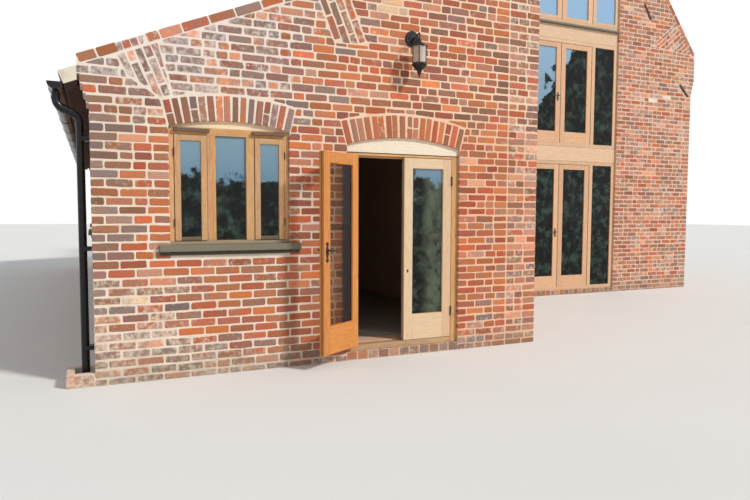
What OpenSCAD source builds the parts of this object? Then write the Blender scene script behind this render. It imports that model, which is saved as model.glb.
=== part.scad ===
// Brick barn house: a tall gabled barn with a glazed oak screen, and a lower wing along its left side
// Plan frame: X to the right along the front, Y back into the building, Z up, all from ground level

/* [Wing] */
// Width of the wing, from its outer left face to the barn wall
wing_w = 4240; // [4100:10:4400]
// Thickness of the wing's brick walls
wing_wall_t = 330; // [300:5:350]
// Height of the sloping verge's top at the outer left face
wing_verge_h = 2828; // [2800:1:2860]
// Pitch of the wing roof
wing_pitch = 22.5; // [21.5:0.1:23.5]

/* [Barn] */
// Width of the barn over its side walls
barn_w = 6660; // [6500:10:6800]
// Thickness of the barn's side walls
barn_wall_t = 400; // [380:5:420]
// Thickness of the barn's gable walls
gable_t = 345; // [330:5:360]
// How far the front gable stands back from the wing's front
barn_setback = 3100; // [3000:10:3200]
// Length of the barn behind its front gable
barn_len = 9300; // [9200:10:9600]
// Height of the steep verge's top at the barn's outer faces
barn_verge_h = 4725; // [4720:1:4760]
// Pitch of the barn roof
barn_pitch = 51.7; // [51:0.1:52.5]

/* [Roofs and verges] */
// Thickness of the brick coping on the verges
coping_t = 75; // [65:1:85]
// Depth from the coping's top to the roof covering, square to the slope
roof_drop = 83; // [70:1:95]
// Thickness of rafters, battens and covering
roof_t = 110; // [100:1:120]
// Length of the wing roof past the outer wall face, along the slope
wing_eaves_run = 260; // [240:1:270]
// Overhang of the barn roof past the outer wall face
barn_eaves_out = 150; // [120:1:180]
// Thickness of the fascia boards
fascia_t = 22; // [18:1:28]
// Radius of the half-round ridge tiles
ridge_r = 130; // [115:1:145]
// Wall of a ridge tile
ridge_wall = 18; // [15:1:22]

/* [Brick courses] */
// Height of one brick course with its joint
course = 78; // [74:0.5:80]
// Projection of each corbelled course under the wing's verge
corbel_step = 22; // [16:1:24]
// Projection of each corbelled course under the barn's verge
barn_corbel_step = 18; // [12:1:20]
// Bed left under the pieces that lie on a slope or in an arch
seat_gap = 0.3; // [0.2:0.05:0.5]
// Number of corbelled courses
corbels = 4; // [3:1:4]
// Height where the wing's corbelling starts
wing_kneeler_z = 2400; // [2380:1:2420]
// Height where the barn's corbelling starts
barn_kneeler_z = 3850; // [3800:1:3900]
// Depth of the brick arch rings
ring_t = 237; // [220:1:245]
// Set-back of frames behind the wall face
reveal = 30; // [26:1:40]

/* [Floors] */
// Thickness of the ground floor slab
slab_t = 150; // [146:1:170]
// Thickness of the upper floors
floor_t = 200; // [180:1:220]
// Height of the first floor's surface
first_floor_z = 2650; // [2630:1:2670]
// Height of the upper floor's surface
upper_floor_z = 4800; // [4780:1:4810]

/* [Windows] */
// Width of a window opening
win_w = 1100; // [1080:1:1120]
// Left edge of the front window from the wing's corner
win_x = 627; // [600:1:650]
// Far edge of the left wall's nearer window, behind the front face
left_win_near = 5300; // [5000:10:5600]
// Far edge of the left wall's further window, behind the front face
left_win_far = 9700; // [9400:10:10000]
// Near edge of the right wall's nearer window, behind the front face
right_win_near = 5400; // [5200:10:5600]
// Near edge of the right wall's further window, behind the front face
right_win_far = 9000; // [8700:10:9300]
// Height of the window sill's top
win_sill_z = 1201; // [1190:1:1220]
// Height of the sill
win_sill_h = 96; // [80:1:100]
// Projection of the sill from the wall
sill_out = 60; // [45:1:70]
// Length of the sill past each side of the opening
sill_horn = 95; // [60:1:110]
// Height where the window arch springs
win_spring_z = 2250; // [2240:1:2260]
// Rise of the window arch
win_rise = 69; // [60:1:75]
// Depth of the window frame
win_frame_d = 90; // [80:1:100]
// Width of the window frame's jambs
win_jamb = 45; // [40:1:50]
// Width of the mullions
win_mull = 75; // [70:1:80]
// Height of the window frame's head
win_head = 65; // [60:1:70]
// Height of the window frame's bottom rail
win_foot = 31; // [28:1:40]
// Width of each side casement
cas_w = 290; // [280:1:300]
// Width of the casement stiles
cas_stile = 55; // [50:1:60]
// Height of the casement's bottom rail
cas_foot = 33; // [30:1:45]
// Thickness of the casements
cas_t = 50; // [44:1:56]
// Projection of the casements from their frame
cas_lip = 10; // [6:1:14]
// Thickness of the window glass units
pane_t = 20; // [14:1:24]

/* [French doors] */
// Left edge of the doorway from the wing's corner
door_x = 2309; // [2300:1:2320]
// Width of the doorway
door_w = 1307; // [1290:1:1320]
// Top of the door frame
door_head_z = 2097; // [2085:1:2105]
// Height where the door arch springs
door_spring_z = 2170; // [2160:1:2180]
// Rise of the door arch
door_rise = 91; // [80:1:96]
// Width of the door frame's jambs
door_jamb = 80; // [72:1:86]
// Depth of the rebate's stop behind the leaves
stop_d = 40; // [34:1:46]
// Width of the rebate's stop
stop_w = 15; // [12:1:18]
// Height of the brick threshold
threshold_z = 83; // [76:1:86]
// Height of the oak sill
door_sill_h = 60; // [52:1:62]
// Clearance round the leaves
leaf_gap = 5; // [5:0.5:7]
// Gap between the two leaves
meeting_gap = 6; // [6:0.5:8]
// Thickness of the leaves
leaf_t = 54; // [46:1:56]
// Width of the leaves' stiles
leaf_stile = 100; // [92:1:106]
// Height of the leaves' top rail
leaf_top_rail = 106; // [98:1:114]
// Height of the leaves' bottom rail
leaf_foot_rail = 270; // [240:1:290]
// Angle at which the left leaf stands open
leaf_rest = 147; // [120:1:155]

/* [Hinges and lever] */
// Radius of the hinge pins
pin_r = 4; // [3.5:0.5:4.5]
// Radial clearance on the pins and the spindle
run_gap = 0.1; // [0.08:0.01:0.1]
// Outer radius of the hinge knuckles
knuckle_r = 7; // [6.5:0.5:7.5]
// Height of a hinge
hinge_h = 100; // [90:1:110]
// Thickness of the hinge plates
hinge_plate_t = 2; // [1.5:0.5:2]
// Width of the hinge plates
hinge_plate_w = 35; // [30:1:40]
// Height of the lower hinge's middle
low_hinge_z = 430; // [400:1:460]
// Height of the upper hinge's middle
high_hinge_z = 1830; // [1800:1:1860]
// Height of the lever's spindle
lever_z = 1140; // [1100:1:1180]
// Set-back of the spindle from the leaf's free edge
lever_back = 50; // [44:1:56]
// Radius of the lever's neck
neck_r = 9; // [8:0.5:10]
// Stand-off of the lever from the leaf
lever_out = 52; // [46:1:58]
// Length of the lever
lever_len = 112; // [100:1:120]

/* [Glazed screen] */
// Right edge of the screen's opening from the wing's corner
screen_right = 8980; // [8960:1:9000]
// Width of the screen's opening
screen_w = 2654; // [2600:2:2700]
// Height where the screen's arch springs
screen_spring_z = 6150; // [6100:10:6200]
// Rise of the screen's arch
screen_rise = 230; // [210:1:250]
// Depth of the screen's frame
screen_d = 100; // [90:1:110]
// Width of the screen's outer posts
screen_jamb = 83; // [74:1:92]
// Width of the screen's inner posts
screen_post = 86; // [78:1:94]
// Width of each side light
side_light = 456; // [440:1:470]
// Height of the screen's heads and rails
screen_rail = 60; // [50:1:66]
// Top of the ground tier
ground_head_z = 2420; // [2400:1:2430]
// Foot of the first-floor tier
first_foot_z = 2680; // [2670:1:2690]
// Top of the first-floor tier
first_head_z = 4563; // [4550:1:4570]
// Underside of the upper sill
upper_sill_z = 4809; // [4800:1:4815]
// Thickness of the upper sill
upper_sill_t = 33; // [28:1:38]
// Width of the screen leaves' stiles
sleaf_stile = 102; // [94:1:110]
// Height of the screen leaves' top rail
sleaf_top = 90; // [80:1:100]
// Height of the screen leaves' bottom rail
sleaf_foot = 200; // [180:1:220]
// Height of the upper tier's bottom rails above its frame
upper_foot = 57; // [48:1:66]
// Gap where two screen leaves meet
sleaf_gap = 4; // [3:0.5:5]
// Thickness of the spandrel boards
board_t = 30; // [24:1:36]

/* [Rainwater goods] */
// Radius of the half-round gutters
gutter_r = 60; // [52:1:64]
// Wall of the gutters
gutter_wall = 4; // [3:0.5:5]
// Height of the wing gutter's brim
gutter_z = 2556; // [2540:1:2570]
// Radius of the downpipes
pipe_r = 33; // [30:1:36]
// Distance of the downpipe's axis from the wall
pipe_off = 75; // [68:1:80]
// Distance of the downpipe behind the front face
pipe_back = 150; // [140:1:170]
// Length of the downpipe's sockets
socket_l = 28; // [24:1:34]
// Lap of a socket over the next length of pipe
socket_lap = 3; // [2:0.5:4]
// Bend radius of the swan neck
neck_bend = 80; // [72:1:86]
// Angle of the swan neck's bends
neck_angle = 65; // [60:1:68]
// Height of the downpipe's foot
pipe_foot_z = 60; // [50:1:90]
// Outer width of the gully surround
gully_w = 225; // [210:1:240]
// Outer length of the gully surround
gully_l = 330; // [310:1:350]
// Width of the gully's brick kerb
gully_kerb = 62; // [55:1:66]
// Height of the gully's brick kerb
gully_h = 110; // [100:1:120]

/* [Wall lantern] */
// Distance of the lantern from the wing's corner
lamp_x = 3028; // [3000:1:3050]
// Height of the lantern glass's foot
lamp_z = 2980; // [2960:1:3000]
// Height of the lantern glass
lamp_glass_h = 170; // [160:1:180]
// Width of the lantern over its corners
lamp_w = 158; // [145:1:165]
// Distance of the lantern's axis from the wall
lamp_out = 160; // [150:1:175]
// Turn of the lantern about its axis
lamp_turn = 0; // [-15:1:15]
// Projection of the lantern's upper rim
lamp_rim = 5; // [3:0.5:7]
// Height of the lantern's rims
lamp_rim_h = 12; // [8:1:14]
// Thickness of the bars at the lantern's corners
lamp_bar = 8; // [6:1:10]
// Width of a lantern pane
lamp_pane_w = 64; // [60:0.5:64]
// Thickness of a lantern pane
lamp_pane_t = 3; // [2:0.5:3]
// Height of the lantern's roof
lamp_roof_h = 46; // [40:1:52]
// Radius of the lantern's cap
lamp_cap_r = 18; // [14:1:20]
// Height of the lantern's cap
lamp_cap_h = 14; // [10:1:18]
// Height of the hook above the cap
lamp_hook_h = 75; // [60:1:85]
// Radius of the lantern's arm
lamp_arm_r = 7; // [5:0.5:8]
// Height of the cone below the lantern
lamp_cone_h = 92; // [84:1:100]
// Height of the lantern's lower tip
lamp_tip_h = 38; // [30:1:44]
// Height of the wall plate's middle
lamp_plate_z = 3262; // [3250:1:3275]
// Radius of the wall plate
lamp_plate_r = 85; // [76:1:90]
// Thickness of the wall plate
lamp_plate_t = 16; // [12:1:20]

/* [Tie bars] */
// Length of a tie bar
tie_len = 320; // [300:1:340]
// Width of a tie bar
tie_w = 42; // [36:1:48]
// Thickness of a tie bar
tie_t = 14; // [10:1:18]
// Distance of the upper tie bars from the middle of the gable
tie_high_x = 2106; // [2080:1:2140]
// Height of the upper tie bars
tie_high_z = 5289; // [5250:1:5320]
// Slope of the upper tie bars
tie_high_turn = 57; // [50:1:60]
// Distance of the lower tie bar from the middle of the gable
tie_low_x = 3132; // [3100:1:3150]
// Height of the lower tie bar
tie_low_z = 3901; // [3880:1:3920]
// Slope of the lower tie bar
tie_low_turn = 42; // [38:1:46]

/* [Hidden] */
big = 400;
arch_fn = 360;
total_len = barn_setback + barn_len;
house_w = wing_w + barn_w;
barn_cx = wing_w + barn_w/2;
barn_cy = barn_setback + barn_len/2;
barn_inner_x = wing_w + barn_wall_t;
gable_y = barn_setback;
screen_x = screen_right - screen_w;
wing_kneeler_out = corbels*corbel_step;
barn_kneeler_out = corbels*barn_corbel_step;
// Depths below the coping's top, square to the slope
roof_foot = roof_drop + roof_t;
coping_bed = coping_t + seat_gap;
roof_bed = roof_foot + seat_gap;
// The wing's fascia leans square to the slope, and its gutter's brim touches it
fascia_u = wing_eaves_run + fascia_t;
brim_depth = (wing_verge_h - fascia_u*sin(wing_pitch) - gutter_z)/cos(wing_pitch);
gutter_x = brim_depth*sin(wing_pitch) - fascia_u*cos(wing_pitch) - gutter_r - seat_gap;
barn_gutter_x = house_w + barn_eaves_out + fascia_t + gutter_r;
// Leaf sizes
leaf_x = door_jamb + leaf_gap;
leaf_w = (door_w - 2*leaf_x - meeting_gap)/2;
door_sill_z = threshold_z + door_sill_h;
leaf_z = door_sill_z + leaf_gap;
leaf_top_z = door_head_z - 36;
leaf_h = leaf_top_z - leaf_z;
rebate_d = leaf_t + leaf_gap;
axis_x = door_jamb + leaf_gap/2;
axis_y = reveal - knuckle_r - 0.5;
knuckle_h = hinge_h/3;
spindle_x = leaf_x + leaf_w - lever_back;
// Window openings: x and y of the left lower corner seen from outside, rise above the ground
// storey, turn about Z, wall thickness
WINDOWS = [
    [win_x, 0, 0, 0, wing_wall_t],
    [0, left_win_near, 0, -90, wing_wall_t],
    [0, left_win_far, 0, -90, wing_wall_t],
    [house_w, right_win_near, 0, 90, barn_wall_t],
    [house_w, right_win_far, 0, 90, barn_wall_t],
    [barn_cx + win_w/2, total_len, 0, 180, gable_t],
    [barn_cx + win_w/2, total_len, first_floor_z - slab_t, 180, gable_t]
];
// Tie bars: distance from the middle of the gable, height and slope
TIES = [[tie_high_x, tie_high_z, -tie_high_turn], [-tie_high_x, tie_high_z, tie_high_turn],
        [tie_low_x, tie_low_z, -tie_low_turn]];

// Height of the wing's slope at x, d below the coping's top
function wing_z(x, d) = wing_verge_h + x*tan(wing_pitch) - d/cos(wing_pitch);
// Height of the barn's slope at x, d below the coping's top
function barn_z(x, d) =
    barn_verge_h + (barn_w/2 - abs(x - barn_cx))*tan(barn_pitch) - d/cos(barn_pitch);
// Point on the wing's slope: u along it from the outer wall face, d below the coping's top
function wing_pt(u, d) =
    [u*cos(wing_pitch) + d*sin(wing_pitch), wing_verge_h + u*sin(wing_pitch) - d*cos(wing_pitch)];
// Radius of a segmental arch
function arch_r(span, rise) = (span*span/4 + rise*rise)/(2*rise);

// The origin is at ground level, in the middle of the barn's plan
module placed() translate([-barn_cx, -barn_cy, 0]) children();

// Extrudes an XZ outline along Y
module along_y(y0, y1) translate([0, y1, 0]) rotate([90, 0, 0]) linear_extrude(y1 - y0) children();

// Extrudes a YZ outline along X
module along_x(x0, x1)
    translate([x0, 0, 0]) rotate([90, 0, 90]) linear_extrude(x1 - x0) children();

module block(x0, x1, y0, y1, z0, z1) translate([x0, y0, z0]) cube([x1 - x0, y1 - y0, z1 - z0]);

// Arch outlines, from the springing line's left end
module arch_disc(span, spring, rise, extra)
    translate([span/2, spring + rise - arch_r(span, rise)])
        circle(r = arch_r(span, rise) + extra, $fn = arch_fn);

module arch_wedge(span, spring, rise) {
    r = arch_r(span, rise);
    drop = r - rise;
    polygon([[span/2, spring - drop], [-span/2, spring + drop], [span*1.5, spring + drop]]);
}

module arch_ring(span, spring, rise) intersection() {
    difference() {
        arch_disc(span, spring, rise, ring_t);
        arch_disc(span, spring, rise, 0);
    }
    arch_wedge(span, spring, rise);
}

module arch_segment(span, spring, rise, foot) intersection() {
    side = foot < spring ? 0 : span/2;
    arch_disc(span, spring, rise, -seat_gap);
    translate([-side, foot]) square([span + 2*side, spring + rise - foot]);
}

// The opening below an arch, with the room that its ring needs
module arch_cut(span, foot, spring, rise) intersection() {
    drop = arch_r(span, rise) - rise;
    arch_disc(span, spring, rise, ring_t);
    polygon([
        [0, foot], [span, foot], [span, spring], [span*1.5, spring + drop],
        [-span/2, spring + drop], [0, spring]
    ]);
}

module at_window(w) translate([w[0], w[1], w[2]]) rotate(w[3]) children();

module window_cuts() for (w = WINDOWS) at_window(w)
    along_y(-1, w[4] + 1) arch_cut(win_w, win_sill_z - win_sill_h, win_spring_z, win_rise);

module door_cut() translate([door_x, 0, 0])
    along_y(-1, wing_wall_t + 1) arch_cut(door_w, 0, door_spring_z, door_rise);

// Brick walls
module wing_front_outline(x0, x1, z0) polygon([
    [x0, z0], [x1, z0], [x1, wing_z(x1, coping_bed)], [x0, wing_z(x0, coping_bed)]
]);

module wing_front_wall() placed() color("indianred") difference() {
    union() {
        along_y(0, wing_wall_t) wing_front_outline(0, door_x, 0);
        along_y(0, wing_wall_t) wing_front_outline(door_x + door_w, wing_w, 0);
    }
    window_cuts();
    door_cut();
}

module wing_wall_over_door() placed() color("indianred") difference() {
    along_y(0, wing_wall_t) wing_front_outline(door_x, door_x + door_w, door_spring_z);
    door_cut();
}

module wing_left_wall() placed() color("indianred") difference() {
    along_y(wing_wall_t, total_len - wing_wall_t) polygon([
        [0, 0], [wing_wall_t, 0],
        [wing_wall_t, wing_z(wing_wall_t, roof_bed)], [0, wing_z(0, roof_bed)]
    ]);
    window_cuts();
}

module wing_rear_wall() placed() color("indianred")
    along_y(total_len - wing_wall_t, total_len) wing_front_outline(0, wing_w, 0);

// The barn's left wall rises to whatever lies on it along its length
module left_wall_part(y0, y1, top0, top1) along_y(y0, y1)
    polygon([[wing_w, 0], [barn_inner_x, 0], [barn_inner_x, top1], [wing_w, top0]]);

module barn_left_wall() placed() color("rosybrown") {
    left_wall_part(0, wing_wall_t, wing_z(wing_w, coping_bed), wing_z(barn_inner_x, coping_bed));
    left_wall_part(wing_wall_t, gable_y, wing_z(wing_w, roof_bed), wing_z(barn_inner_x, roof_bed));
    left_wall_part(gable_y, gable_y + gable_t, barn_z(wing_w, coping_bed), barn_z(barn_inner_x, coping_bed));
    left_wall_part(gable_y + gable_t, total_len - gable_t,
                   barn_z(wing_w, roof_bed), barn_z(barn_inner_x, roof_bed));
    left_wall_part(total_len - gable_t, total_len,
                   barn_z(wing_w, coping_bed), barn_z(barn_inner_x, coping_bed));
}

module barn_right_wall() placed() color("indianred") difference() {
    along_y(gable_y + gable_t, total_len - gable_t) polygon([
        [house_w - barn_wall_t, 0], [house_w, 0],
        [house_w, barn_z(house_w, roof_bed)],
        [house_w - barn_wall_t, barn_z(house_w - barn_wall_t, roof_bed)]
    ]);
    window_cuts();
}

module gable_outline() polygon([
    [barn_inner_x, 0], [house_w, 0], [house_w, barn_z(house_w, coping_bed)],
    [barn_cx, barn_z(barn_cx, coping_bed)], [barn_inner_x, barn_z(barn_inner_x, coping_bed)]
]);

module screen_cut() translate([screen_x, 0, 0])
    along_y(gable_y - 1, gable_y + gable_t + 1)
        arch_cut(screen_w, 0, screen_spring_z, screen_rise);

module barn_rear_gable() placed() color("indianred") difference() {
    along_y(total_len - gable_t, total_len) gable_outline();
    window_cuts();
}

module barn_front_gable_sides() placed() color("indianred") difference() {
    along_y(gable_y, gable_y + gable_t) difference() {
        gable_outline();
        translate([screen_x, 0]) square([screen_w, barn_z(barn_cx, 0)]);
    }
    screen_cut();
}

module barn_front_gable_top() placed() color("indianred") difference() {
    along_y(gable_y, gable_y + gable_t) intersection() {
        gable_outline();
        translate([screen_x, screen_spring_z]) square([screen_w, barn_z(barn_cx, 0)]);
    }
    screen_cut();
}

// Verge copings of brick laid along the slopes
module wing_coping_outline() polygon([
    [-wing_kneeler_out, wing_z(-wing_kneeler_out, 0)],
    [barn_inner_x, wing_z(barn_inner_x, 0)],
    [barn_inner_x, wing_z(barn_inner_x, coping_t)],
    [-wing_kneeler_out, wing_z(-wing_kneeler_out, coping_t)]
]);

module wing_coping() placed() color("firebrick") {
    along_y(0, wing_wall_t) wing_coping_outline();
    along_y(total_len - wing_wall_t, total_len) intersection() {
        wing_coping_outline();
        translate([-big, 0]) square([wing_w + big, barn_verge_h]);
    }
}

module barn_coping_outline() {
    out = house_w + barn_kneeler_out;
    polygon([
        [wing_w, barn_z(wing_w, 0)], [barn_cx, barn_z(barn_cx, 0)], [out, barn_z(out, 0)],
        [out, barn_z(out, coping_t)], [barn_cx, barn_z(barn_cx, coping_t)],
        [wing_w, barn_z(wing_w, coping_t)]
    ]);
}

module barn_coping() placed() color("firebrick") {
    along_y(gable_y, gable_y + gable_t) barn_coping_outline();
    along_y(total_len - gable_t, total_len) barn_coping_outline();
}

// Corbelled brick kneelers that carry the feet of the copings
module wing_kneeler_outline() intersection() {
    union() for (i = [0:corbels - 1])
        translate([-(i + 1)*corbel_step, wing_kneeler_z + i*course])
            square([(i + 1)*corbel_step, wing_verge_h - wing_kneeler_z]);
    polygon([
        [-big, 0], [0, 0], [0, wing_z(0, coping_bed)], [-big, wing_z(-big, coping_bed)]
    ]);
}

module barn_kneeler_outline() intersection() {
    union() for (i = [0:corbels - 1])
        translate([house_w, barn_kneeler_z + i*course])
            square([(i + 1)*barn_corbel_step, barn_verge_h - barn_kneeler_z]);
    polygon([
        [house_w, 0], [house_w + big, 0], [house_w + big, barn_z(house_w + big, coping_bed)],
        [house_w, barn_z(house_w, coping_bed)]
    ]);
}

module kneelers() placed() color("indianred") {
    along_y(0, wing_wall_t) wing_kneeler_outline();
    along_y(total_len - wing_wall_t, total_len) wing_kneeler_outline();
    along_y(gable_y, gable_y + gable_t) barn_kneeler_outline();
    along_y(total_len - gable_t, total_len) barn_kneeler_outline();
}

// Segmental brick arches, and the boards that fill them
module door_arch() placed() color("sandybrown") translate([door_x, 0, 0])
    along_y(0, wing_wall_t) arch_ring(door_w, door_spring_z, door_rise);

module window_arches() placed() color("sandybrown") {
    for (w = WINDOWS) at_window(w)
        along_y(0, w[4]) arch_ring(win_w, win_spring_z, win_rise);
    translate([screen_x, 0, 0])
        along_y(gable_y, gable_y + gable_t) arch_ring(screen_w, screen_spring_z, screen_rise);
}

module arch_boards() placed() color("wheat") {
    for (w = WINDOWS) at_window(w) along_y(reveal, reveal + win_frame_d)
        arch_segment(win_w, win_spring_z, win_rise, win_spring_z);
    translate([door_x, 0, 0]) along_y(reveal, reveal + rebate_d + stop_d)
        arch_segment(door_w, door_spring_z, door_rise, door_head_z);
    translate([screen_x, 0, 0]) along_y(gable_y + reveal, gable_y + reveal + screen_d)
        arch_segment(screen_w, screen_spring_z, screen_rise, screen_spring_z);
}

// Floors
module ground_floors() placed() color("silver") {
    block(wing_wall_t, wing_w, wing_wall_t, total_len - wing_wall_t, 0, slab_t);
    block(barn_inner_x, house_w - barn_wall_t, gable_y + gable_t, total_len - gable_t, 0, slab_t);
}

module upper_floors() placed() color("tan") for (z = [first_floor_z, upper_floor_z])
    block(barn_inner_x, house_w - barn_wall_t, gable_y + gable_t, total_len - gable_t,
          z - floor_t, z);

// Roofs, as deep as rafters, battens and tiles
module wing_roof_outline(x1) polygon([
    wing_pt(-wing_eaves_run, roof_drop), [x1, wing_z(x1, roof_drop)],
    [x1, wing_z(x1, roof_foot)], wing_pt(-wing_eaves_run, roof_foot)
]);

module wing_roof() placed() color("sienna") {
    along_y(wing_wall_t, gable_y) wing_roof_outline(barn_inner_x);
    along_y(gable_y, total_len - wing_wall_t) wing_roof_outline(wing_w);
}

module barn_roof_outline(x0) polygon([
    [x0, barn_z(x0, roof_drop)], [barn_cx, barn_z(barn_cx, roof_drop)],
    [barn_cx, barn_z(barn_cx, roof_foot)], [x0, barn_z(x0, roof_foot)]
]);

module barn_roof_left() placed() color("sienna")
    along_y(gable_y + gable_t, total_len - gable_t) barn_roof_outline(wing_w);

module barn_roof_right() placed() color("sienna")
    along_y(gable_y + gable_t, total_len - gable_t)
        barn_roof_outline(house_w + barn_eaves_out);

module ridge_tiles() placed() color("sienna")
    along_y(gable_y + gable_t, total_len - gable_t) difference() {
        translate([barn_cx, barn_z(barn_cx, roof_drop) - ridge_r/3]) difference() {
            circle(r = ridge_r, $fn = 96);
            circle(r = ridge_r - ridge_wall, $fn = 96);
        }
        polygon([
            [barn_cx - big, barn_z(barn_cx - big, roof_drop - seat_gap)],
            [barn_cx, barn_z(barn_cx, roof_drop - seat_gap)],
            [barn_cx + big, barn_z(barn_cx + big, roof_drop - seat_gap)],
            [barn_cx + big, 0], [barn_cx - big, 0]
        ]);
    }

// Fascias, with the cream board that closes the wing's eaves at each end
module eaves_boards() placed() color("ivory") {
    along_y(wing_wall_t, total_len - wing_wall_t) polygon([
        wing_pt(-wing_eaves_run, roof_drop), wing_pt(-wing_eaves_run, roof_foot),
        wing_pt(-wing_eaves_run - fascia_t, roof_foot), wing_pt(-wing_eaves_run - fascia_t, roof_drop)
    ]);
    for (y = [0, total_len - wing_wall_t]) along_y(y, y + wing_wall_t) intersection() {
        polygon([
            wing_pt(-wing_eaves_run - fascia_t, roof_drop), wing_pt(big, roof_drop),
            wing_pt(big, roof_foot), wing_pt(-wing_eaves_run - fascia_t, roof_foot)
        ]);
        translate([-2*big, 0]) square([2*big - wing_kneeler_out, wing_verge_h]);
    }
    block(house_w + barn_eaves_out, house_w + barn_eaves_out + fascia_t,
          gable_y + gable_t, total_len - gable_t,
          barn_z(house_w + barn_eaves_out, roof_foot),
          barn_z(house_w + barn_eaves_out, roof_drop));
}

// Rainwater goods
module gutter(y0, y1) {
    along_y(y0, y1) difference() {
        circle(r = gutter_r, $fn = 96);
        circle(r = gutter_r - gutter_wall, $fn = 96);
        translate([-gutter_r, 0]) square(2*gutter_r);
    }
    for (y = [y0, y1 - gutter_wall]) along_y(y, y + gutter_wall) difference() {
        circle(r = gutter_r, $fn = 96);
        translate([-gutter_r, 0]) square(2*gutter_r);
    }
}

module gutters() placed() color("black") {
    translate([gutter_x, 0, gutter_z]) gutter(0, total_len);
    translate([barn_gutter_x, 0, barn_z(house_w + barn_eaves_out, roof_foot) + gutter_r])
        gutter(gable_y + gable_t, total_len - gable_t);
}

// Lengths, sockets and bends of pipe
module pipe_length(h) translate([0, 0, socket_lap])
    cylinder(r = pipe_r, h = h - 2*socket_lap, $fn = 48);

module pipe_socket(h) translate([0, 0, h]) cylinder(r = pipe_r + gutter_wall, h = socket_l, $fn = 48);

module pipe_bend() rotate_extrude(angle = neck_angle, $fn = 96)
    translate([neck_bend, 0]) circle(r = pipe_r, $fn = 48);

// A downpipe on the face x = 0, with its swan neck up to a gutter at -out, hung at z
module downpipe(out, z) {
    side = out - pipe_off;
    run = (side - 2*neck_bend*(1 - cos(neck_angle)))/sin(neck_angle);
    drop = 2*neck_bend*sin(neck_angle) + run*cos(neck_angle);
    low = z - 2*gutter_r - drop;
    translate([-pipe_off, 0, pipe_foot_z]) {
        translate([0, 0, -socket_lap]) pipe_length(low - pipe_foot_z + socket_lap);
        pipe_socket(low - pipe_foot_z + socket_lap - socket_l);
    }
    translate([-pipe_off - neck_bend, 0, low]) rotate([90, 0, 0]) {
        pipe_bend();
        rotate(neck_angle) translate([neck_bend, 0, 0]) rotate([-90, 0, 0]) {
            pipe_length(run);
            pipe_socket(-socket_lap);
            pipe_socket(run + socket_lap - socket_l);
        }
    }
    translate([neck_bend - out, 0, low + drop]) rotate([90, 0, 0]) rotate(180) pipe_bend();
    translate([-out, 0, low + drop]) {
        pipe_length(gutter_r + socket_lap);
        pipe_socket(-socket_lap);
    }
    for (h = [low - 2*course, (low + pipe_foot_z)/2, pipe_foot_z + 3*course])
        block(-pipe_off, 0, -pipe_r - gutter_wall, pipe_r + gutter_wall, h, h + course/2);
}

module downpipes() placed() color("black") {
    translate([0, pipe_back, 0]) downpipe(-gutter_x, gutter_z);
    translate([house_w, total_len - gable_t - pipe_back, 0]) rotate(180)
        downpipe(barn_gutter_x - house_w, barn_z(house_w + barn_eaves_out, roof_foot) + gutter_r);
}

module gully_surround() placed() color("rosybrown") difference() {
    block(-gully_w, 0, 0, gully_l, 0, gully_h);
    block(-gully_w + gully_kerb, -gully_kerb/2, gully_kerb, gully_l - gully_kerb, -1, gully_h + 1);
}

// Six-sided wall lantern, hung by its roof from an arm on a round wall plate
module at_lamp(z = 0) translate([lamp_x, -lamp_out, lamp_z + z]) rotate(lamp_turn) children();

module hex_taper(low, high, h) cylinder(r1 = low, r2 = high, h = h, $fn = 6);

module lantern_body() placed() color("darkslategray") {
    at_lamp(lamp_glass_h) {
        hex_taper(lamp_w/2 + lamp_rim, lamp_w/2 + lamp_rim, lamp_rim_h);
        translate([0, 0, lamp_rim_h]) hex_taper(lamp_w/2, lamp_cap_r, lamp_roof_h);
        translate([0, 0, lamp_rim_h + lamp_roof_h]) cylinder(r = lamp_cap_r, h = lamp_cap_h, $fn = 48);
        translate([0, 0, lamp_rim_h + lamp_roof_h + lamp_cap_h])
            cylinder(r = lamp_arm_r, h = lamp_hook_h, $fn = 32);
    }
    at_lamp(-lamp_rim_h) hex_taper(lamp_w/2, lamp_w/2, lamp_rim_h);
    at_lamp(-lamp_rim_h - lamp_cone_h) hex_taper(lamp_arm_r, lamp_w/2 - lamp_rim, lamp_cone_h);
    at_lamp(-lamp_rim_h - lamp_cone_h - lamp_tip_h) cylinder(r = lamp_arm_r, h = lamp_tip_h, $fn = 32);
    for (a = [0:60:300]) at_lamp(-lamp_rim_h/2) rotate(a) translate([lamp_w/2 - lamp_bar, -lamp_bar/2, 0])
        cube([lamp_bar, lamp_bar, lamp_glass_h + lamp_rim_h]);
    translate([lamp_x, 0, lamp_plate_z]) rotate([90, 0, 0]) {
        cylinder(r = lamp_plate_r, h = lamp_plate_t, $fn = 64);
        cylinder(r = lamp_arm_r, h = lamp_out, $fn = 32);
    }
}

module lantern_panes() placed() color("white", 0.4) for (a = [0:60:300])
    at_lamp() rotate(a + 30) translate([lamp_w/2*cos(30) - lamp_bar/2, -lamp_pane_w/2, 0])
        cube([lamp_pane_t, lamp_pane_w, lamp_glass_h]);

module tie_bars() placed() color("dimgray") for (t = TIES)
    translate([barn_cx + t[0], gable_y, t[1]]) rotate([0, -t[2], 0])
        translate([-tie_len/2, -tie_t, -tie_w/2]) cube([tie_len, tie_t, tie_w]);

// Glazed oak screen, one frame a storey
// Each tier: its foot and top, and how high the bottom rails of its leaves and side lights are
TIERS = [
    [threshold_z, ground_head_z, sleaf_foot, 0],
    [first_foot_z, first_head_z, sleaf_foot, 0],
    [upper_sill_z + upper_sill_t, screen_spring_z, upper_foot, upper_foot]
];
leaf_zone_x = screen_jamb + side_light + screen_post;
leaf_zone_w = screen_w - 2*leaf_zone_x;
LIGHTS = [
    [screen_jamb, side_light], [leaf_zone_x, leaf_zone_w],
    [screen_w - screen_jamb - side_light, side_light]
];

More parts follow.
